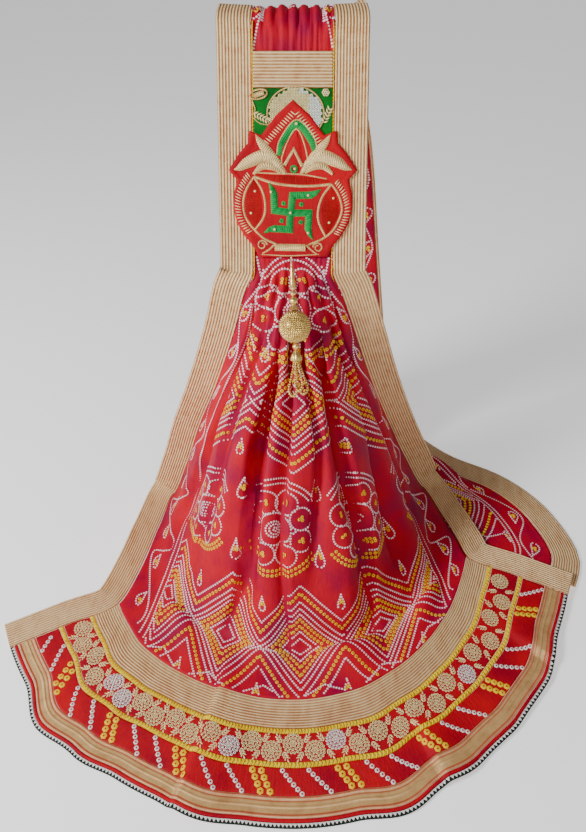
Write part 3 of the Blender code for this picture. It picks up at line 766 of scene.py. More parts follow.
# %% Green panel and cross lace
LIFT = FIELD_THICK + 0.0003
PANEL_THICK = 0.0010
CROSS_START, CROSS_END = 0.9275, 0.9675
HEAD_HALF = 0.048
overlay_across = np.linspace(-0.96, 0.96, 60)
panel = cloth_strip(
    "green_panel_brocade", overlay_across, np.linspace(0.850, 0.927, 50), PANEL_THICK,
    brocade, lambda u, v: 0.00008 * np.sin(900 * u) * np.sin(900 * v), LIFT, HEAD_HALF,
)
own(panel, ["green_panel"])
cross = cloth_strip(
    "cross_lace_corded", overlay_across, cord_rows(CROSS_START, CROSS_END), 0.0016, corded_gold,
    lambda u, v: corded((v - CROSS_START) / (CROSS_END - CROSS_START)), LIFT, HEAD_HALF, True,
)
own(cross, ["cross_lace"])
for side, name in ((-1, "binding_left"), (1, "binding_right")):
    binding = cloth_strip(
        name, np.sort(side * np.array((0.966, 0.974, 0.982, 0.990))), np.linspace(0.705, 1.0, 260), 0.0022,
        yellow_braid, lambda u, v: 0.0004 * np.sin(2 * math.pi * v / 0.004), LIFT - 0.0006, HEAD_HALF, True,
    )
    own(binding)
print("head pieces: 4")

# %% [markdown]
# ## Laying small shapes on the cloth
# Dots, sequins and leaves follow the cloth they are sewn or dyed on. Each is one small shape, copied as whole
# arrays to many places, and every place brings its own axes: right, up the cloth, and outwards.


# %% Frames on the drape, and scattering
def frames(across, along, lift, surface=cloth):
    """Points `lift` above a surface, with unit vectors to the right, up the cloth and outwards."""
    across, along = np.clip(np.asarray(across, float), -1, 1), np.asarray(along, float)
    out = normals(surface, across, along)
    over = surface(np.clip(across + 0.004, -1, 1), along) - surface(np.clip(across - 0.004, -1, 1), along)
    right = unit(over - out * np.sum(over * out, axis=-1, keepdims=True))
    return surface(across, along) + out * np.asarray(lift)[..., None], right, np.cross(out, right), out


def shifted(across, along, right, up):
    """Moves a place on the drape by metres to the right and up, through the drape's own local scale."""
    across, along = np.broadcast_arrays(np.asarray(across, float), np.asarray(along, float))
    step = 0.01
    near = np.clip(across, -0.98, 0.98)
    low, high = near - step, near + step
    wide = np.linalg.norm(draped(high, along) - draped(low, along), axis=-1) / (high - low)
    tall = np.linalg.norm(draped(across, along + step) - draped(across, along - step), axis=-1) / (2 * step)
    return across + right / wide, along + up / tall


def scatter(name, shape, places, sizes, turns, material):
    """Copies a small shape to every place: x and y go along the turned right and up axes, z outwards."""
    points, faces = shape
    at, right, up, out = places
    turns = np.broadcast_to(np.asarray(turns, float), (len(at),))[:, None]
    sizes = np.broadcast_to(np.asarray(sizes, float), (len(at),))[:, None, None]
    x_axis = right * np.cos(turns) + up * np.sin(turns)
    y_axis = up * np.cos(turns) - right * np.sin(turns)
    axes = np.stack([x_axis, y_axis, out], axis=1)
    laid = at[:, None, :] + sizes * (points @ axes)
    index = np.arange(len(at)).reshape(-1, *([1] * faces.ndim)) * len(points) + faces
    uv = np.tile(points[:, :2], (len(at), 1)) * 0.01
    laid[..., 2] = np.maximum(laid[..., 2], 0.0001)
    return own(new_mesh(name, laid, index.reshape(-1, faces.shape[1]), material, uv))


def dome(sides, crown=0.25, ring=0.55):
    """A low button: a rim, a ring at `ring` of its radius and a flat top."""
    turn = circle(sides)
    rim = np.stack([np.cos(turn), np.sin(turn), np.zeros(sides)], 1)
    top = np.stack([np.cos(turn) * ring, np.sin(turn) * ring, np.full(sides, crown)], 1)
    i = np.arange(sides)
    j = (i + 1) % sides
    middle = np.full(sides, 2 * sides)
    side = np.vstack([np.stack([i, j, j + sides], 1), np.stack([i, j + sides, i + sides], 1)])
    cap = np.stack([i + sides, j + sides, middle], 1)
    return np.vstack([rim, top, [[0, 0, crown]]]), np.vstack([side, cap])


def pyramid(sides=6, crown=0.3):
    """The lowest possible knot: a rim and one point."""
    turn = circle(sides)
    rim = np.stack([np.cos(turn), np.sin(turn), np.zeros(sides)], 1)
    i = np.arange(sides)
    return np.vstack([rim, [[0, 0, crown]]]), np.stack([i, (i + 1) % sides, np.full(sides, sides)], 1)


def petal(steps, width, crown):
    """A leaf from (0, 0) to (1, 0): the sine of its length gives its width, and a ridge runs down it."""
    t = np.linspace(0, 1, steps + 1)
    half = width * np.sin(math.pi * t**0.8) ** 0.9
    ridge = crown * np.sin(math.pi * np.clip(t, 0.04, 0.96))
    rows = np.stack([np.stack([t, s * half, ridge * (s == 0)], 1) for s in (-1, 0, 1)], 1).reshape(-1, 3)
    i = np.arange(steps) * 3
    quads = np.vstack([np.stack([i + k, i + k + 3, i + k + 4, i + k + 1], 1) for k in (0, 1)])
    return rows, quads


print("shapes:", len(dome(6)[1]), "and", len(pyramid()[1]), "faces")

# %% [markdown]
# ## Tie-dyed dots
# Bandhani is dyed by tying thousands of pinches of cloth: each knot keeps a pale dot. The dots run in lines,
# so here a line is drawn in the drape's own coordinates and then divided into equal steps of real length.
# White dots outline diamonds, flowers and leaf shapes, and yellow dots with a red heart run between them.


# %% Lines of dots
WHITE_PITCH, WHITE_RADIUS, WHITE_APART = 0.0037, 0.00145, 0.0028
YELLOW_PITCH, YELLOW_RADIUS, YELLOW_APART = 0.0059, 0.0024, 0.0044
DOT_LIFT = 0.00012


def dense(points, closed=False, each=24):
    """Points joined by straight runs in the drape's coordinates, each run cut into `each` steps."""
    points = np.array(list(points) + list(points[:1] if closed else ()), float)
    t = np.linspace(0, len(points) - 1, (len(points) - 1) * each + 1)
    return np.stack([np.interp(t, np.arange(len(points)), points[:, k]) for k in (0, 1)], 1)


def dotted(line, pitch):
    """Equal steps of `pitch` metres along a line, measured on the drape itself."""
    line = np.clip(line, (-0.985, 0.001), (0.985, CLOTH_END - 0.003))
    run = arc_length(ground_top(line[:, 0], line[:, 1]))
    steps = np.arange(pitch / 2, run[-1], pitch)
    return np.stack([np.interp(steps, run, line[:, k]) for k in (0, 1)], 1)


def ring(centre, radius, start=0.0, stop=360.0, wide=1.0):
    """An arc of a true circle on the drape, `wide` times as wide as it is tall."""
    turn = np.radians(np.linspace(start, stop, 49))
    return np.stack(shifted(centre[0], centre[1], radius * wide * np.cos(turn), radius * np.sin(turn)), 1)


def diamond(centre, half_across, half_along):
    """Four corners of a diamond, drawn closed."""
    (a, l), w, h = centre, half_across, half_along
    return dense([(a, l - h), (a + w, l), (a, l + h), (a - w, l)], closed=True)


white_lines, yellow_lines = [], []


def nested_diamond(centre, half_across, half_along):
    """White diamonds inside each other, with a double row of yellow dots after the second."""
    for size in (1.0, 0.86, 0.44, 0.26):
        white_lines.append(diamond(centre, half_across * size, half_along * size))
    for size in (0.73, 0.57):
        yellow_lines.append(diamond(centre, half_across * size, half_along * size))


def flower(centre, size=1.0):
    """A dotted heart, a wide ring, eight round petals with yellow dots in each, and a garland below."""
    for radius in (0.0030, 0.0078, 0.0118, 0.0235):
        white_lines.append(ring(centre, radius * size))
    for turn in np.radians(np.arange(8) * 45 + 22.5):
        away = 0.0400 * size
        petal_at = shifted(centre[0], centre[1], away * math.cos(turn), away * math.sin(turn))
        white_lines.append(ring(petal_at, 0.0158 * size))
        yellow_lines.append(ring(petal_at, 0.0026))
    for radius in (0.0620, 0.0690):
        yellow_lines.append(ring(centre, radius * size, 212, 328))


def leaf_shape(centre, size, lean):
    """A teardrop: a circle that narrows to a point at its head, leaning by `lean`."""
    turn = np.linspace(0, 2 * math.pi, 49)
    x, y = size * 0.62 * np.sin(turn) * np.cos(turn / 2) ** 2, size * -np.cos(turn)
    x, y = x * math.cos(lean) - y * math.sin(lean), x * math.sin(lean) + y * math.cos(lean)
    return np.stack(shifted(centre[0], centre[1], x, y), 1)


# %% The pattern of the ground
DIAMOND_HALF = 0.052
DIAMOND_ROWS = (
    # place along the cloth, half length of a diamond, sideways shift
    (0.226, 0.056, 0.03), (0.556, 0.056, 0.0), (1.13, 0.06, 0.0),
    (1.38, 0.06, 0.0), (1.63, 0.06, 0.0), (1.88, 0.06, 0.0),
)
FLOWER_PITCH = 0.108
# Place along the cloth and sideways shift
FLOWER_ROWS = ((0.392, -0.10), (0.672, 0.0), (1.255, 0.0), (1.505, 0.0), (1.755, 0.0))


def half_width(along):
    """Half the real width of the cloth at a row, in metres."""
    left, right = draped(np.array([-0.5, 0.5]), np.array([along, along]))
    return float(np.linalg.norm(right - left))


for along, half_along, phase in DIAMOND_ROWS:
    half_across = DIAMOND_HALF / half_width(along)
    for centre in np.arange(-4, 5) * 2 * half_across + phase:
        if abs(centre) < 0.78 + half_across:
            nested_diamond((centre, along), half_across, half_along)
            for rise in (1, -1):
                tip = (centre + half_across, along + rise * (half_along + 0.004))
                white_lines.append(leaf_shape(tip, 0.0105, 0.0))
                yellow_lines.append(ring(tip, 0.0024))
    # Zigzags above and below a row keep in step with its diamonds
    corners = phase + np.arange(-9, 10) * half_across
    for kept, offsets in ((white_lines, (0.0095, 0.0330)), (yellow_lines, (0.0215,))):
        for offset in offsets:
            for rise in (1, -1):
                height = (half_along * (np.arange(19) % 2) + offset) * rise
                kept.append(dense(np.stack([corners, along + height], 1)))
for along, phase in FLOWER_ROWS:
    pitch = FLOWER_PITCH / half_width(along)
    for centre in np.arange(-3, 4) * pitch + phase:
        if abs(centre) < 0.85:
            flower((centre, along), 0.95)
            for radius in (0.0600, 0.0670):
                white_lines.append(ring((centre, along), radius, 38, 142))
            for rise in (0.048, -0.040):
                beside = (centre + pitch / 2, along + rise)
                white_lines.append(leaf_shape(beside, 0.0150, 0.0))
                yellow_lines.append(ring(beside, 0.0026))
# One toothed line between each row and the next
for along in (0.166, 0.690, 1.035, 1.195, 1.315, 1.445, 1.565, 1.695, 1.815, 1.945):
    teeth = max(2, round(half_width(along) / 0.052))
    corners = np.linspace(-0.74, 0.74, 2 * teeth + 1)
    height = 0.016 * (np.arange(2 * teeth + 1) % 2 - 0.5)
    white_lines.append(dense(np.stack([corners, along + height], 1)))
inner_count = len(white_lines), len(yellow_lines)
# Straight double lines set off the edges, with leaf shapes and a wavy line between them and the lace
for side in (-1, 1):
    for across in (0.745, 0.780):
        white_lines.append(dense([(side * across, HEM_DEPTH + 0.006), (side * across, 0.72)], each=400))
        white_lines.append(dense([(side * across, 1.0), (side * across, 1.99)], each=400))
    wave = np.linspace(0.17, 1.98, 1200)
    white_lines.append(np.stack([side * (0.880 + 0.075 * np.sin(2 * math.pi * wave / 0.104)), wave], 1))
    for along in np.arange(0.19, 1.99, 0.052):
        if not 0.70 < along < 1.0:
            white_lines.append(leaf_shape((side * 0.885, along), 0.0150, side * 0.35))
            yellow_lines.append(ring((side * 0.885, along - 0.003), 0.0028))


def ground_places(lines, inner, pitch, apart):
    """All the dots of the lines, less those closer than `apart`, as frames on the ground's own relief. The
    first `inner` lines keep to the middle of the cloth, between its straight edge lines."""
    rows = [dotted(line, pitch) for line in lines]
    rows[:inner] = [row[np.abs(row[:, 0]) < 0.735] for row in rows[:inner]]
    dots = np.vstack(rows)
    cells = np.round(ground_top(dots[:, 0], dots[:, 1]) / apart)
    dots = dots[np.unique(cells, axis=0, return_index=True)[1]]
    dots = dots[(np.abs(dots[:, 0]) < 0.975) & (dots[:, 1] > HEM_DEPTH + 0.003)]
    under_panel = (dots[:, 1] > 0.735) & (dots[:, 1] < 0.970)
    dots = dots[~under_panel]
    return frames(dots[:, 0], dots[:, 1], DOT_LIFT, ground_top)


def raised(places, lift):
    """The same frames, `lift` further out."""
    return places[0] + places[3] * lift, *places[1:]


white_places = ground_places(white_lines, inner_count[0], WHITE_PITCH, WHITE_APART)
scatter("bandhani_white", pyramid(), white_places, WHITE_RADIUS, 0.0, dyed_white)
yellow_places = ground_places(yellow_lines, inner_count[1], YELLOW_PITCH, YELLOW_APART)
scatter("bandhani_yellow", dome(6, 0.12, 0.75), yellow_places, YELLOW_RADIUS, 0.0, dyed_yellow)
hearts = raised(yellow_places, 0.00036)
scatter("bandhani_hearts", dome(5, 0.1, 0.5), hearts, 0.0010, 0.0, dyed_heart)
# The dye goes right through the cloth, so its back shows the same dots
for name, places, size, material in (
    ("bandhani_white_back", white_places, WHITE_RADIUS, dyed_white),
    ("bandhani_yellow_back", yellow_places, YELLOW_RADIUS, dyed_yellow),
):
    at, right, up, out = places
    under = (at - out * (FIELD_THICK + 0.0003), -right, up, -out)
    scatter(name, pyramid(), under, size, 0.0, material)
print("dyed dots:", len(white_places[0]), "white and", len(yellow_places[0]), "yellow")

# %% [markdown]
# ## Dots and sequins of the border
# The dyed ground of the border has larger knots: slanting rows of white ones and blocks of orange ones. The
# band above it carries round flowers of gold and silver sequins, one high and one low, with sprays between.


# %% The border's dyed ground
def in_cells(count, offsets):
    """Repeats (right, up) offsets in metres at the middles of `count` equal cells round the fan."""
    centres = np.linspace(-0.965, 0.965, count)
    right, up = np.array(offsets).T
    return centres[:, None] + np.zeros(len(right)), right, up


white_squares = [(x + 0.0046 * i, 0.0664 - 0.0056 * i) for x in (-0.013, 0.019) for i in range(6)]
orange_squares = [(-0.050 + 0.0112 * i + 0.0042 * j, 0.0645 - 0.0080 * j) for i in range(2) for j in range(4)]
for name, offsets, size, heart, colour in (
    ("border_knots_white", white_squares, 0.0031, 0.0014, white_thread),
    ("border_knots_orange", orange_squares, 0.0043, 0.0013, dyed_yellow),
):
    centres, right, up = in_cells(9, offsets)
    across, _ = shifted(centres, np.full(centres.shape, 0.053), right + 0 * centres, 0.0)
    along = np.broadcast_to(up, across.shape)
    inside = (np.abs(across) < 0.985).ravel()
    across, along = across.ravel()[inside], along.ravel()[inside]
    lift = 0.0004 + soft_relief(across * STRIP_SCALE, along)
    places = frames(across, along, BORDER_THICK + lift)
    scatter(name, dome(6, 0.14, 0.8), places, size, 0.55, colour)
    hearts = raised(places, size * 0.16)
    scatter(name + "_hearts", dome(5, 0.1, 0.5), hearts, heart, 0.55, dyed_heart)
print("knots in a cell:", len(white_squares) + len(orange_squares))

# %% The embroidered band
MEDALLIONS = 29
BAND_TOP = BAND_THICK + 0.0004
BAND_MIDDLE = 0.0955
medallion_across = np.linspace(-0.955, 0.955, MEDALLIONS)
medallion_along = BAND_MIDDLE + 0.0052 * (-1.0) ** np.arange(MEDALLIONS)


def sequin(sides=9):
    """A cupped disc with a hole: an outer rim, a raised ring and an inner edge."""
    turn = circle(sides)
    rows = [np.stack([np.cos(turn) * r, np.sin(turn) * r, np.full(sides, h)], 1)
            for r, h in ((1.0, 0.0), (0.80, 0.30), (0.40, 0.10))]
    i = np.arange(sides)
    j = (i + 1) % sides
    quads = np.vstack([np.stack([i, j, j + sides, i + sides], 1) + k * sides for k in (0, 1)])
    return np.vstack(rows), quads


def sequin_flower(rings):
    """Offsets of overlapping sequins in rings: six more in each ring than in the one inside it."""
    offsets = [(0.0, 0.0, 0.0)]
    for number in range(1, rings + 1):
        offsets += [(number * math.cos(a), number * math.sin(a), number) for a in circle(6 * number)]
    return np.array(offsets)


offsets = sequin_flower(3)
pitch = 0.0037
across = np.repeat(medallion_across, len(offsets)).reshape(MEDALLIONS, -1)
along = np.repeat(medallion_along, len(offsets)).reshape(MEDALLIONS, -1)
across, along = shifted(across, along, pitch * offsets[:, 0], pitch * offsets[:, 1])
height = BAND_TOP + 0.0012 - 0.0003 * offsets[:, 2] + 0 * across
bright = np.isin(np.arange(MEDALLIONS), (4, 5, 11, 16, 23))
for name, chosen, material in (
    ("sequins_gold", ~bright, sequin_gold),
    ("sequins_silver", bright, sequin_white),
):
    places = frames(across[chosen].ravel(), along[chosen].ravel(), height[chosen].ravel())
    scatter(name, sequin(), places, 0.00175, 0.3, material)


def spray(count, length, opening, lean):
    """Offsets and turns of one spray's leaves: pairs that open along a short stem, and one at its tip."""
    x, y = length * math.cos(lean), length * math.sin(lean)
    rows = []
    for stem in 0.25 + 0.75 * np.arange(count) / count:
        rows += [(stem * x, stem * y, lean + hand * opening) for hand in (-1, 1)]
    return np.array(rows + [(x, y, lean)])


leaves = [[], [], []]
for number, middle in enumerate((medallion_across[1:] + medallion_across[:-1]) / 2):
    toward = 1 if number % 2 else -1
    for at_up, lean in ((-0.0030 * toward, -1.05 * toward), (0.0030 * toward, 2.1 * toward)):
        rows = spray(3, 0.0125, 0.70, lean)
        a, l = shifted(middle, BAND_MIDDLE + at_up, rows[:, 0], rows[:, 1])
        for kept, value in zip(leaves, (a, l, rows[:, 2])):
            kept.append(value)
leaf_across, leaf_along, leaf_turn = (np.concatenate(kept) for kept in leaves)
leaf_along = np.clip(leaf_along, 0.0795, 0.1115)
places = frames(leaf_across, leaf_along, BAND_THICK + 0.0005)
scatter("band_sprays", petal(5, 0.17, 0.16), places, 0.0056, leaf_turn, pale_stitch)
print("sequins:", across.size, "leaves:", len(leaf_across))

# %% The picots of the hem
count = 200
picot_across = np.linspace(-0.99, 0.99, count)
tooth = (
    np.array([(-1, 0, 0), (1, 0, 0), (0, -1.5, 0), (0, -0.35, 0.35)], float),
    np.array([(0, 2, 3), (2, 1, 3), (1, 0, 3)]),
)
places = frames(picot_across, np.full(count, 0.0054), PICOT_THICK + 0.0002)
scatter("picots", tooth, places, 0.0027, 0.0, white_thread)
print("picots:", count)

# %% [markdown]
# ## Embroidery on a plane
# The pot patch lies on the flat slope under the brocade, so its embroidery is drawn in that plane: metres to
# the right of its middle, up from its foot, and out from the slope. Satin stitch is a ribbon with a round
# back, whose stitches cross it. Where it turns a corner they fan out, as each cross section is mitred there.

# %% The slope's own axes
SLOPE_FOOT = np.array((0.0, 0.383, 0.452)) - ORIGIN
SLOPE_RIGHT = np.array((1.0, 0.0, 0.0))
SLOPE_UP = unit(np.array((0.0, 0.120, 0.214)))
SLOPE_OUT = np.cross(SLOPE_RIGHT, SLOPE_UP)
PATCH_BACK = 0.0031
PATCH_FACE = 0.0057


def on_slope(x, y, z):
    """Right, up and out in metres, turned into the object's frame: the foot plus each times its own axis."""
    x, y, z = (g[..., None] for g in np.broadcast_arrays(*(np.asarray(g, float) for g in (x, y, z))))
    return SLOPE_FOOT + x * SLOPE_RIGHT + y * SLOPE_UP + z * SLOPE_OUT


def slope_places(x, y, z):
    """Frames for scatter on the slope's plane."""
    at = on_slope(x, y, z).reshape(-1, 3)
    return (at, *(np.tile(axis, (len(at), 1)) for axis in (SLOPE_RIGHT, SLOPE_UP, SLOPE_OUT)))


print("slope's outward axis:", np.round(SLOPE_OUT, 3))


# %% Satin ribbons
def rounded(points, each=5):
    """A smooth line through the points: every run is a Catmull-Rom cubic, cut into `each` steps."""
    p = np.asarray(points, float)
    ends = np.vstack([2 * p[:1] - p[1:2], p, 2 * p[-1:] - p[-2:-1]])
    t = (np.arange(each) / each)[None, :, None]
    a, b, c, d = (ends[k:len(p) - 1 + k, None] for k in range(4))
    run = 0.5 * (2 * b + (c - a) * t + (2 * a - 5 * b + 4 * c - d) * t**2 + (3 * b - a - 3 * c + d) * t**3)
    return np.vstack([run.reshape(-1, p.shape[1]), p[-1:]])


def satin(line, height, lift, pitch=0.0, step=0.0006):
    """One ribbon: `line` has x, y and width in millimetres. Sections are mitred at its corners and joined by
    straight runs. Its back is a half round across, the root of one less x squared, notched every `pitch`."""
    line = np.asarray(line, float) / 1000
    way = unit(np.diff(line[:, :2], axis=0))
    side = np.stack([-way[:, 1], way[:, 0]], 1)
    before, after = np.vstack([side[:1], side]), np.vstack([side, side[-1:]])
    mitre = unit(before + after)
    mitre = mitre / np.clip(np.sum(mitre * after, axis=1, keepdims=True), 0.62, 1)
    run = arc_length(line[:, :2])
    s = np.unique(np.concatenate([run, np.arange(0, run[-1], step)]))
    half = mitre * line[:, 2:] / 2
    x, y, hx, hy = (np.interp(s, run, g) for g in (line[:, 0], line[:, 1], half[:, 0], half[:, 1]))
    t = np.linspace(-1, 1, 7)[None, :]
    wide = np.hypot(hx, hy)[:, None]
    rise = height * np.sqrt(np.clip(1 - t**2, 0, 1)) * np.clip(wide / (height * 1.2), 0.15, 1)
    if pitch:
        rise = rise * (0.45 + 0.55 * np.abs(np.sin(math.pi * s / pitch)))[:, None]
    top = on_slope(x[:, None] + hx[:, None] * t, y[:, None] + hy[:, None] * t, lift + rise)
    uv = np.stack(np.broadcast_arrays(s[:, None], wide * t), -1)
    index = np.arange(top[..., 0].size).reshape(top.shape[:2])
    quads = np.stack([index[:-1, :-1], index[1:, :-1], index[1:, 1:], index[:-1, 1:]], -1).reshape(-1, 4)
    return top.reshape(-1, 3), quads[:, ::-1], uv.reshape(-1, 2)


def stitched(name, parts, material, replaces=()):
    """Joins ribbons, each a set of points, faces and UVs, into one piece."""
    starts = np.cumsum([0] + [len(points) for points, _, _ in parts])
    faces = np.vstack([quads + start for (_, quads, _), start in zip(parts, starts)])
    points, uv = np.vstack([p for p, _, _ in parts]), np.vstack([u for _, _, u in parts])
    return own(new_mesh(name, points, faces, material, uv), replaces)


def line(points, width, smooth=True):
    """Gives every point of a line one width, and rounds the line unless its corners are sharp."""
    rows = np.column_stack([np.asarray(points, float), np.full(len(points), float(width))])
    return rounded(rows) if smooth else rows


def both_sides(points):
    """A line on the left, and its mirror image on the right."""
    return points, [(-p[0], *p[1:]) for p in points]


print("a 40 mm ribbon has", len(satin(line([(0, 0), (40, 0)], 4), 0.001, 0)[1]), "faces")

# %% [markdown]
# ## The pot patch
# A kalash is the full pot of Hindu weddings: a round pot with leaves and a flame-shaped coconut above it.
# The patch is padded red cloth, cut to the pot's outline, with gold satin stitch. The green emblem on the
# pot is the traditional swastik, a sign of good fortune.

# %% The padded red ground of the patch
PATCH_HALF = np.array([
    # half width, height
    (0, 0.178), (0.020, 0.161), (0.037, 0.139), (0.051, 0.144), (0.053, 0.130), (0.064, 0.118),
    (0.076, 0.100), (0.066, 0.089), (0.070, 0.074), (0.071, 0.058), (0.067, 0.040), (0.059, 0.026),
    (0.048, 0.013), (0.041, 0),
])
PATCH_MIDDLE = np.array((0.0, 0.080))


def patch_outline(each=8):
    """The half outline and its mirror image, closed across the foot, with equal steps on every side."""
    right = PATCH_HALF[::-1]
    whole = np.vstack([right, PATCH_HALF[1:] * (-1, 1), right[:1]])
    t = np.linspace(0, len(whole) - 1, (len(whole) - 1) * each, endpoint=False)
    return np.stack([np.interp(t, np.arange(len(whole)), whole[:, k]) for k in (0, 1)], 1)


outline = patch_outline()
# Rings from the back's edge over the rolled rim to the middle: share of the outline, and height
PATCH_RINGS = np.array([
    (1.0, PATCH_BACK), (1.0, 0.0046), (0.985, 0.0059), (0.955, 0.0062), (0.91, 0.0061), (0.88, 0.0055),
    (0.84, PATCH_FACE), (0.75, PATCH_FACE), (0.6, PATCH_FACE), (0.45, PATCH_FACE), (0.3, PATCH_FACE),
    (0.15, PATCH_FACE),
])
grid = PATCH_MIDDLE + (outline - PATCH_MIDDLE)[None] * PATCH_RINGS[:, :1, None]
poles = on_slope(*PATCH_MIDDLE, np.array([PATCH_BACK, PATCH_FACE]))
points = np.vstack([on_slope(grid[..., 0], grid[..., 1], PATCH_RINGS[:, 1:]).reshape(-1, 3), poles])
flat_uv = np.vstack([grid.reshape(-1, 2), PATCH_MIDDLE, PATCH_MIDDLE])
patch = new_mesh("kalash_patch_ground", points, capped_rings(*grid.shape[:2]), patch_cloth, flat_uv)
own(patch, ["kalash_patch"])
print("patch outline:", len(outline), "points")

# %% The pot in gold thread
RING_LEFT = [
    (-46, 92), (-53, 82), (-57.5, 72), (-59, 60), (-57, 48), (-52, 39), (-46, 32), (-35, 22), (-20, 15),
]
RING_RIGHT = [(45.5, 84), (53, 74), (57.5, 62), (58, 52), (53, 39), (46, 29), (35, 21), (18, 14)]
ARC_LEFT = [(-46, 92), (-37, 78), (-33, 62), (-35, 46), (-46, 31)]
ARC_RIGHT = [(45, 83), (35, 70), (30, 54), (31, 40), (39, 24)]
rings = (RING_LEFT, RING_RIGHT, ARC_LEFT, ARC_RIGHT)
gold = [satin(line(points, 2.6), 0.0010, PATCH_FACE, 0.0016) for points in rings]
for points, width, smooth in (
    ([(-46, 92.5), (-22, 85), (3, 82), (25, 82), (45.5, 84)], 3.0, True),
    ([(-43, 97), (-20, 96), (10, 95), (40, 90)], 1.8, True),
    ([(-19, 117), (-15, 134), (4, 156), (24, 138), (29, 119)], 2.0, True),
    ([(-8, 96), (-13, 114), (4, 146), (17, 114), (11, 95)], 1.8, True),
    ([(-22, 15), (-28, 9), (-37, 4)], 2.4, True), ([(16, 14), (22, 8), (29, 3)], 2.4, True),
    ([(-38, 3), (-5, 1.5), (31, 3)], 1.6, True),
):
    gold.append(satin(line(points, width, smooth), 0.0009, PATCH_FACE, 0.0016))
for x, y, radius, hand in ((-37, 14, 6, 1), (30, 11, 6, -1)):
    turn = np.linspace(0, 2.6 * math.pi, 40)
    reach = radius * (1 - 0.62 * turn / turn[-1])
    curl = np.column_stack([x + hand * reach * np.cos(turn), y + reach * np.sin(turn), np.full(40, 1.9)])
    gold.append(satin(curl, 0.0009, PATCH_FACE, 0.0014))
gold.append(satin(line([(-22, 11), (15, 10.5)], 9, False), 0.0016, PATCH_FACE, 0.0022))
gold.append(satin(line([(-10, 105), (1, 123), (11, 104)], 4.0, False), 0.0009, PATCH_FACE + 0.0010, 0.0016))
stitched("patch_gold_lines", gold, bullion)
print("gold lines:", len(gold))

# %% Leaves, flame and emblem
LEAF_LINES = (
    *both_sides([(-11, 97, 3), (-20, 108, 11), (-31, 122, 11), (-39, 132, 7), (-44, 140, 0.6)]),
    *both_sides([
        (-9, 95, 3), (-19, 108, 10), (-34, 115, 15), (-52, 109, 13), (-62, 103, 8), (-70, 100, 0.6),
    ]),
    *both_sides([(-14, 96, 2), (-24, 103, 7), (-36, 104, 8), (-47, 95, 3)]),
)
leaves = [satin(rounded(points), 0.0014, PATCH_FACE + 0.0002, 0.0024) for points in LEAF_LINES]
stitched("patch_leaves", leaves, bullion)
chevron = rounded([(-17, 116, 5), (-13, 131, 7.6), (4, 151, 7.6), (21, 133, 7.6), (26, 117, 5)])
green = [satin(chevron, 0.0012, PATCH_FACE, 0.0026)]
# The emblem's four arms: each has two straight limbs of one width, then a hook that narrows to a point
for limbs, hook in (
    ([(-3, 47), (-0.5, 71), (21, 71.5)], [(27, 74, 6), (33, 78, 1)]),
    ([(-7, 51), (19, 51), (18, 33)], [(20, 27, 6), (23.5, 20, 1)]),
    ([(-3, 55), (-4, 32), (-22, 33)], [(-28, 32, 6), (-35, 28, 1)]),
    ([(1, 51), (-22, 54), (-22.5, 73)], [(-25, 79, 6), (-28.5, 86, 1)]),
):
    green.append(satin(np.vstack([line(limbs, 8.4, False), hook]), 0.0021, PATCH_FACE, 0.0013))
turn = np.linspace(0, 2 * math.pi, 25)
for x, y, radius, width in (
    (1, 101, 3.4, 2.4), (-11, 62, 1.3, 3), (10, 61, 1.3, 3), (-13.5, 42, 1.3, 3), (9.5, 40.5, 1.3, 3),
):
    hoop = np.column_stack([x + radius * np.cos(turn), y + radius * np.sin(turn), np.full(25, width)])
    green.append(satin(hoop, 0.0016, PATCH_FACE + (0.0008 if y > 100 else 0), 0.0016))
stitched("patch_green", green, green_silk)
flame = rounded([(1.5, 100, 8), (1, 112, 20), (2, 124, 18), (3, 134, 11), (4, 142, 1)])
stitched("patch_flame", [satin(flame, 0.0010, PATCH_FACE - 0.0002)], patch_cloth)
lenses = [satin(rounded(points), 0.0006, PATCH_FACE - 0.0001, 0.0020) for points in (
    [(-47, 90, 1), (-46.5, 76, 16), (-46, 60, 21), (-46, 46, 17), (-46, 33, 1)],
    [(45, 82, 1), (45, 68, 17), (44.5, 54, 23), (42, 40, 16), (39, 26, 1)],
    [(-43, 95, 2), (-22, 91, 7), (3, 88.5, 10), (24, 88, 8), (43, 87, 2)],
)]
stitched("patch_lenses", lenses, deep_red)
print("green ribbons:", len(green))

# %% Stitches round the patch, and its small beads
def stitches(points, count, reach, lean=0.0, inset=0.0):
    """Equal places along a line, each with the turn of a stitch that stands square to it, `reach` mm out."""
    smooth = rounded(points, 12)
    run = arc_length(smooth)
    s = np.linspace(run[-1] * inset, run[-1] * (1 - inset), count)
    x, y = (np.interp(s, run, smooth[:, k]) for k in (0, 1))
    dx, dy = (np.interp(s, (run[1:] + run[:-1]) / 2, np.diff(smooth[:, k])) for k in (0, 1))
    turn = np.arctan2(dy, dx) + math.pi / 2
    return np.stack([x + reach * np.cos(turn), y + reach * np.sin(turn), turn + lean])


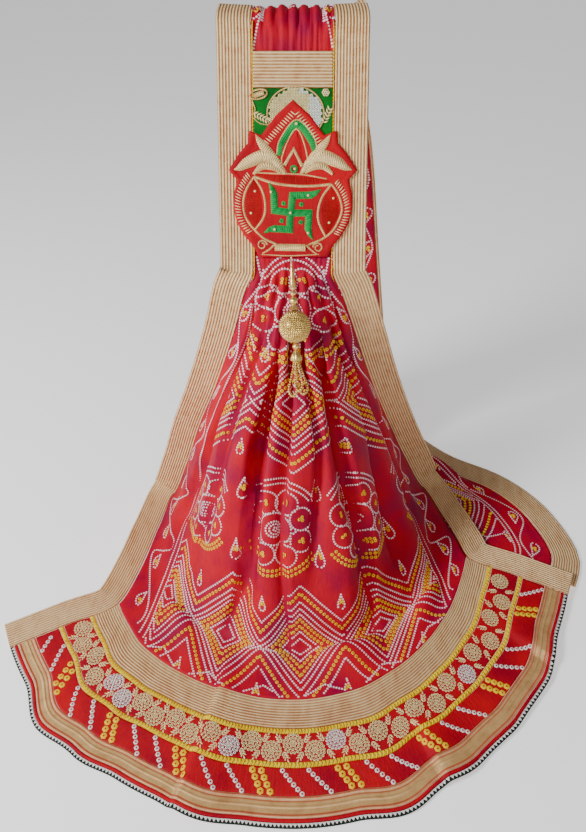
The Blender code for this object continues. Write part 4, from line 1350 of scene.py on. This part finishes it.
ticks = np.hstack([
    stitches(RING_LEFT[:-2], 23, -6.5, -0.25, 0.03), stitches(RING_RIGHT[:-2], 21, 6.5, 0.25, 0.03),
    stitches([(-32, 130), (-15, 148), (1, 164)], 14, 0, 0.15, 0.03),
    stitches([(4, 164), (20, 146), (36, 125)], 14, 0, -0.15, 0.03),
])
stitch = petal(6, 0.085, 0.13)
stitch = (stitch[0] - (0.5, 0, 0), stitch[1])
places = slope_places(ticks[0] / 1000, ticks[1] / 1000, PATCH_FACE + 0.0003)
scatter("patch_stitches", stitch, places, 0.0080, ticks[2], pale_stitch)
laid = []
for row in LEAF_LINES:
    smooth = rounded(row)
    run = arc_length(smooth[:, :2])
    count = int(run[-1] / 2.5)
    x, y, turn = stitches([point[:2] for point in row], count, 0.0, 0.30, 0.04)
    wide = np.interp(np.linspace(0.04, 0.96, count) * run[-1], run, smooth[:, 2])
    laid.append(np.stack([x, y, turn, wide]))
laid = np.hstack(laid)
places = slope_places(laid[0] / 1000, laid[1] / 1000, PATCH_FACE + 0.0015)
scatter("patch_leaf_stitches", stitch, places, laid[3] / 1000 * 1.02, laid[2], pale_stitch)
beads = np.array([
    (-45, 76), (-50, 51), (48, 68), (43, 40),
    (-26, 75), (18, 71), (-3, 51), (-22, 32), (18, 28), (2, 101), (4, 151),
]) / 1000
# The first four sit on the red cloth, the others on the green ribbons
bead_lift = np.where(np.arange(len(beads)) < 4, 0.0, 0.0019)
places = slope_places(beads[:, 0], beads[:, 1], PATCH_FACE + bead_lift)
scatter("patch_beads", dome(10, 1.0, 0.6), places, 0.0016, 0.0, sequin_gold)
print("stitches:", ticks.shape[1], "beads:", len(beads))

# %% [markdown]
# ## The brocade's flower and sprays
# On the green brocade sit a half-round flower of gold sequins with a couched edge, a leaf bud, a sequin
# rosette and feathery sprays. The patch covers part of them.

# %% Ornaments of the green panel
PANEL_FACE = LIFT + PANEL_THICK + 0.0012
FLOWER_AT = np.array((0.003, 0.163))
FLOWER_REACH = (0.0330, 0.0295)
turn = np.linspace(0, 2 * math.pi, 60)
hoop = FLOWER_AT + FLOWER_REACH * np.column_stack([np.cos(turn), np.sin(turn)])
couched = [satin(line(hoop * 1000, 1.8, False), 0.0010, PANEL_FACE, 0.0016)]
bud_x, bud_y = -40 + 10 * np.cos(turn), 184 + 5.2 * np.sin(turn) + 1.5 * np.cos(turn)
couched.append(satin(line(np.column_stack([bud_x, bud_y]), 2.0, False), 0.0010, PANEL_FACE, 0.0016))
couched.append(satin(line([(-46, 182), (-34, 186)], 5.5, False), 0.0012, PANEL_FACE, 0.0018))
for points in (
    [(-46, 158), (-38, 152), (-26, 150)],
    [(40, 160), (46, 168), (47, 176)],
    [(-47, 176), (-44, 168), (-46, 162)],
):
    couched.append(satin(line(points, 1.2), 0.0007, PANEL_FACE, 0.0014))
stitched("panel_couching", couched, bullion)
rows, columns = np.meshgrid(np.arange(-14, 15), np.arange(-14, 15))
x = (columns + 0.5 * (rows % 2)).ravel() * 0.0037
y = rows.ravel() * 0.0033
inside = (x / (FLOWER_REACH[0] - 0.0022)) ** 2 + (y / (FLOWER_REACH[1] - 0.0022)) ** 2 < 1
x, y = x[inside] + FLOWER_AT[0], y[inside] + FLOWER_AT[1]
white_ones = (x > 0.019) | ((x > 0.008) & (y > 0.183))
for name, chosen, material in (
    ("panel_sequins_gold", ~white_ones, sequin_gold),
    ("panel_sequins_white", white_ones, sequin_white),
):
    places = slope_places(x[chosen], y[chosen], PANEL_FACE + 0.0004)
    scatter(name, sequin(), places, 0.0018, 0.3, material)
rosette = sequin_flower(1)
places = slope_places(0.038 + 0.0026 * rosette[:, 0], 0.186 + 0.0026 * rosette[:, 1], PANEL_FACE)
scatter("panel_rosette", sequin(), places, 0.0020, 0.3, sequin_gold)
sprays = []
for x0, y0, x1, y1, count in ((-45, 163, -29, 155, 5), (36, 153, 44, 170, 5)):
    share = (np.arange(count) / count)[:, None]
    lean = math.atan2(y1 - y0, x1 - x0)
    stem = (x0, y0) + np.array((x1 - x0, y1 - y0)) * share
    for hand in (-1, 1):
        sprays.append(np.column_stack([stem, np.full(count, lean + hand * 0.8)]))
sprays = np.vstack(sprays)
places = slope_places(sprays[:, 0] / 1000, sprays[:, 1] / 1000, PANEL_FACE)
scatter("panel_sprays", petal(5, 0.17, 0.2), places, 0.0058, sprays[:, 2], pale_stitch)
print("panel sequins:", len(x))

# %% [markdown]
# ## The latkan
# The drop hangs from the patch on a thread: a slim cone, two beads, a cap, a ball wound with rows of small
# beads, one more bead, a bell cap, and looped strings of beads. Turned pieces are profiles carried round
# the drop's line.

# %% The drop's own axes, and turned pieces
DROP_LEAN = 0.05
DROP_DOWN = math.sin(DROP_LEAN) * SLOPE_RIGHT - math.cos(DROP_LEAN) * SLOPE_UP
DROP_SIDE = math.cos(DROP_LEAN) * SLOPE_RIGHT + math.sin(DROP_LEAN) * SLOPE_UP
DROP_START = on_slope(-0.002, 0.0, 0.0235)


def turned(name, profile, node_name, around=28, ribs=0, depth=0.0, each=6):
    """A profile of (down, radius), rounded and carried round the line; its radius has `ribs` waves."""
    rows = rounded(profile, each)
    down, radius = rows[1:-1, 0], np.maximum(rows[1:-1, 1], 0.0001)
    turn = circle(around)
    reach = radius[:, None] * (1 + depth * np.cos(ribs * turn))
    ring_points = (
        DROP_START + down[:, None, None] * DROP_DOWN
        + (reach * np.cos(turn))[..., None] * DROP_SIDE + (reach * np.sin(turn))[..., None] * SLOPE_OUT
    )
    poles = DROP_START + np.array([[rows[0, 0]], [rows[-1, 0]]]) * DROP_DOWN
    points = np.vstack([ring_points.reshape(-1, 3), poles])
    obj = new_mesh(name, points, capped_rings(*reach.shape), antique_gold)
    work = bmesh.new()
    work.from_mesh(obj.data)
    bmesh.ops.recalc_face_normals(work, faces=work.faces)
    work.to_mesh(obj.data)
    work.free()
    return own(obj, [node_name])


turned("drop_cone", [(0.0118, 0), (0.0120, 0.0013), (0.0170, 0.0022), (0.0260, 0.0029),
                     (0.0330, 0.0036), (0.0375, 0.0030), (0.0390, 0.0018), (0.0392, 0)],
       "latkan_cone_bead")
turned("drop_small_bead", [(0.0394, 0), (0.0398, 0.0018), (0.0429, 0.0036), (0.0460, 0.0018), (0.0464, 0)],
       "latkan_small_bead")
turned("drop_round_bead", [(0.0467, 0), (0.0472, 0.0025), (0.0518, 0.0050), (0.0564, 0.0025), (0.0569, 0)],
       "latkan_round_bead", 32, 8, 0.05)
turned("drop_top_cap", [(0.0570, 0), (0.0573, 0.0028), (0.0595, 0.0045), (0.0618, 0.0068),
                        (0.0626, 0.0070), (0.0628, 0)], "latkan_top_cap", 40, 10, 0.07)
turned("drop_lower_bead", [(0.1022, 0), (0.1026, 0.0020), (0.1064, 0.0042), (0.1102, 0.0020), (0.1106, 0)],
       "latkan_lower_bead", 32, 8, 0.05)
turned("drop_bell_cap", [(0.1108, 0), (0.1112, 0.0022), (0.1140, 0.0042), (0.1185, 0.0062), (0.1228, 0.0068),
                         (0.1232, 0.0060), (0.1230, 0)], "latkan_bell_cap", 48, 12, 0.06)
print("drop starts at", np.round(DROP_START, 3))

# %% The ball wound with beads
BALL_RADIUS, BALL_AT, BEAD_PITCH = 0.0195, 0.0824, 0.0026
core = BALL_RADIUS - 0.0012
angles = np.linspace(0, math.pi, 19)
profile = np.column_stack([BALL_AT - core * np.cos(angles), core * np.sin(angles)])
turned("drop_ball_core", profile, "latkan_ball", each=1)
ball = []
for angle in np.linspace(0.12, math.pi - 0.12, int(math.pi * BALL_RADIUS / BEAD_PITCH)):
    number = max(5, int(2 * math.pi * core * math.sin(angle) / BEAD_PITCH))
    turn = circle(number) + angle * 3
    ball.append(np.column_stack([np.full(number, angle), turn]))
angle, turn = np.vstack(ball).T[..., None]
sideways = np.cos(turn) * DROP_SIDE + np.sin(turn) * SLOPE_OUT
out = np.sin(angle) * sideways - np.cos(angle) * DROP_DOWN
right = unit(np.cross(np.broadcast_to(-DROP_DOWN, out.shape), out) + 1e-9 * DROP_SIDE)
places = (DROP_START + BALL_AT * DROP_DOWN + core * out, right, np.cross(out, right), out)
scatter("drop_ball_beads", dome(8, 0.85, 0.62), places, BEAD_PITCH * 0.52, 0.0, antique_gold)
print("beads on the ball:", len(out))

# %% Looped strings of beads, and the thread
STRINGS_START = 0.1235
LOOPS = (
    # sideways and outward reach at the foot, length, half width of the loop
    (-0.0060, 0.004, 0.043, 0.0050), (0.0065, 0.002, 0.041, 0.0055), (0.0015, 0.008, 0.036, 0.0040),
)


def small_bead(sides=8):
    """A tiny faceted bead: three rings between two poles."""
    rows = [[(0, 0, -1)]]
    for z, r in ((-0.6, 0.8), (0.0, 1.0), (0.6, 0.8)):
        turn = circle(sides)
        rows.append(np.stack([r * np.cos(turn), r * np.sin(turn), np.full(sides, z)], 1).tolist())
    rows.append([(0, 0, 1)])
    points = np.array(sum(rows, []), float)
    i = np.arange(sides)
    j = (i + 1) % sides
    faces = [np.stack([np.zeros(sides, int), 1 + j, 1 + i], 1)]
    for k in (0, 1):
        low, high = 1 + k * sides, 1 + (k + 1) * sides
        faces += [np.stack([low + i, low + j, high + j], 1), np.stack([low + i, high + j, high + i], 1)]
    faces.append(np.stack([1 + 2 * sides + i, 1 + 2 * sides + j, np.full(sides, 1 + 3 * sides)], 1))
    return points, np.vstack(faces)


strings = []
for reach, proud, length, half in LOOPS:
    path = rounded([
        (reach * 0.2 - 0.001, 0.0, proud * 0.3),
        (reach * 0.6 - half * 0.7, length * 0.45, proud),
        (reach - half, length * 0.82, proud),
        (reach, length, proud),
        (reach + half, length * 0.82, proud),
        (reach * 0.6 + half * 0.7, length * 0.45, proud),
        (reach * 0.2 + 0.001, 0.0, proud * 0.3),
    ], 12)
    run = arc_length(path)
    steps = np.arange(0.001, run[-1], 0.0031)
    strings.append(np.stack([np.interp(steps, run, path[:, k]) for k in range(3)], 1))
strings = np.vstack(strings)
strings[:, 1] += STRINGS_START
at = DROP_START + strings @ np.array([DROP_SIDE, DROP_DOWN, SLOPE_OUT])
axes = (np.tile(axis, (len(at), 1)) for axis in (DROP_SIDE, SLOPE_OUT, DROP_DOWN))
# The beads at the foot of a loop are larger
sizes = 0.00155 + 0.0006 * (strings[:, 1] > STRINGS_START + 0.034)
tassel = scatter("drop_tassel_strings", small_bead(), (at, *axes), sizes, 0.0, antique_gold)
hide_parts("latkan_tassel")
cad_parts["latkan_thread"].data.materials[0] = pale_stitch
print("beads on the strings:", len(at))
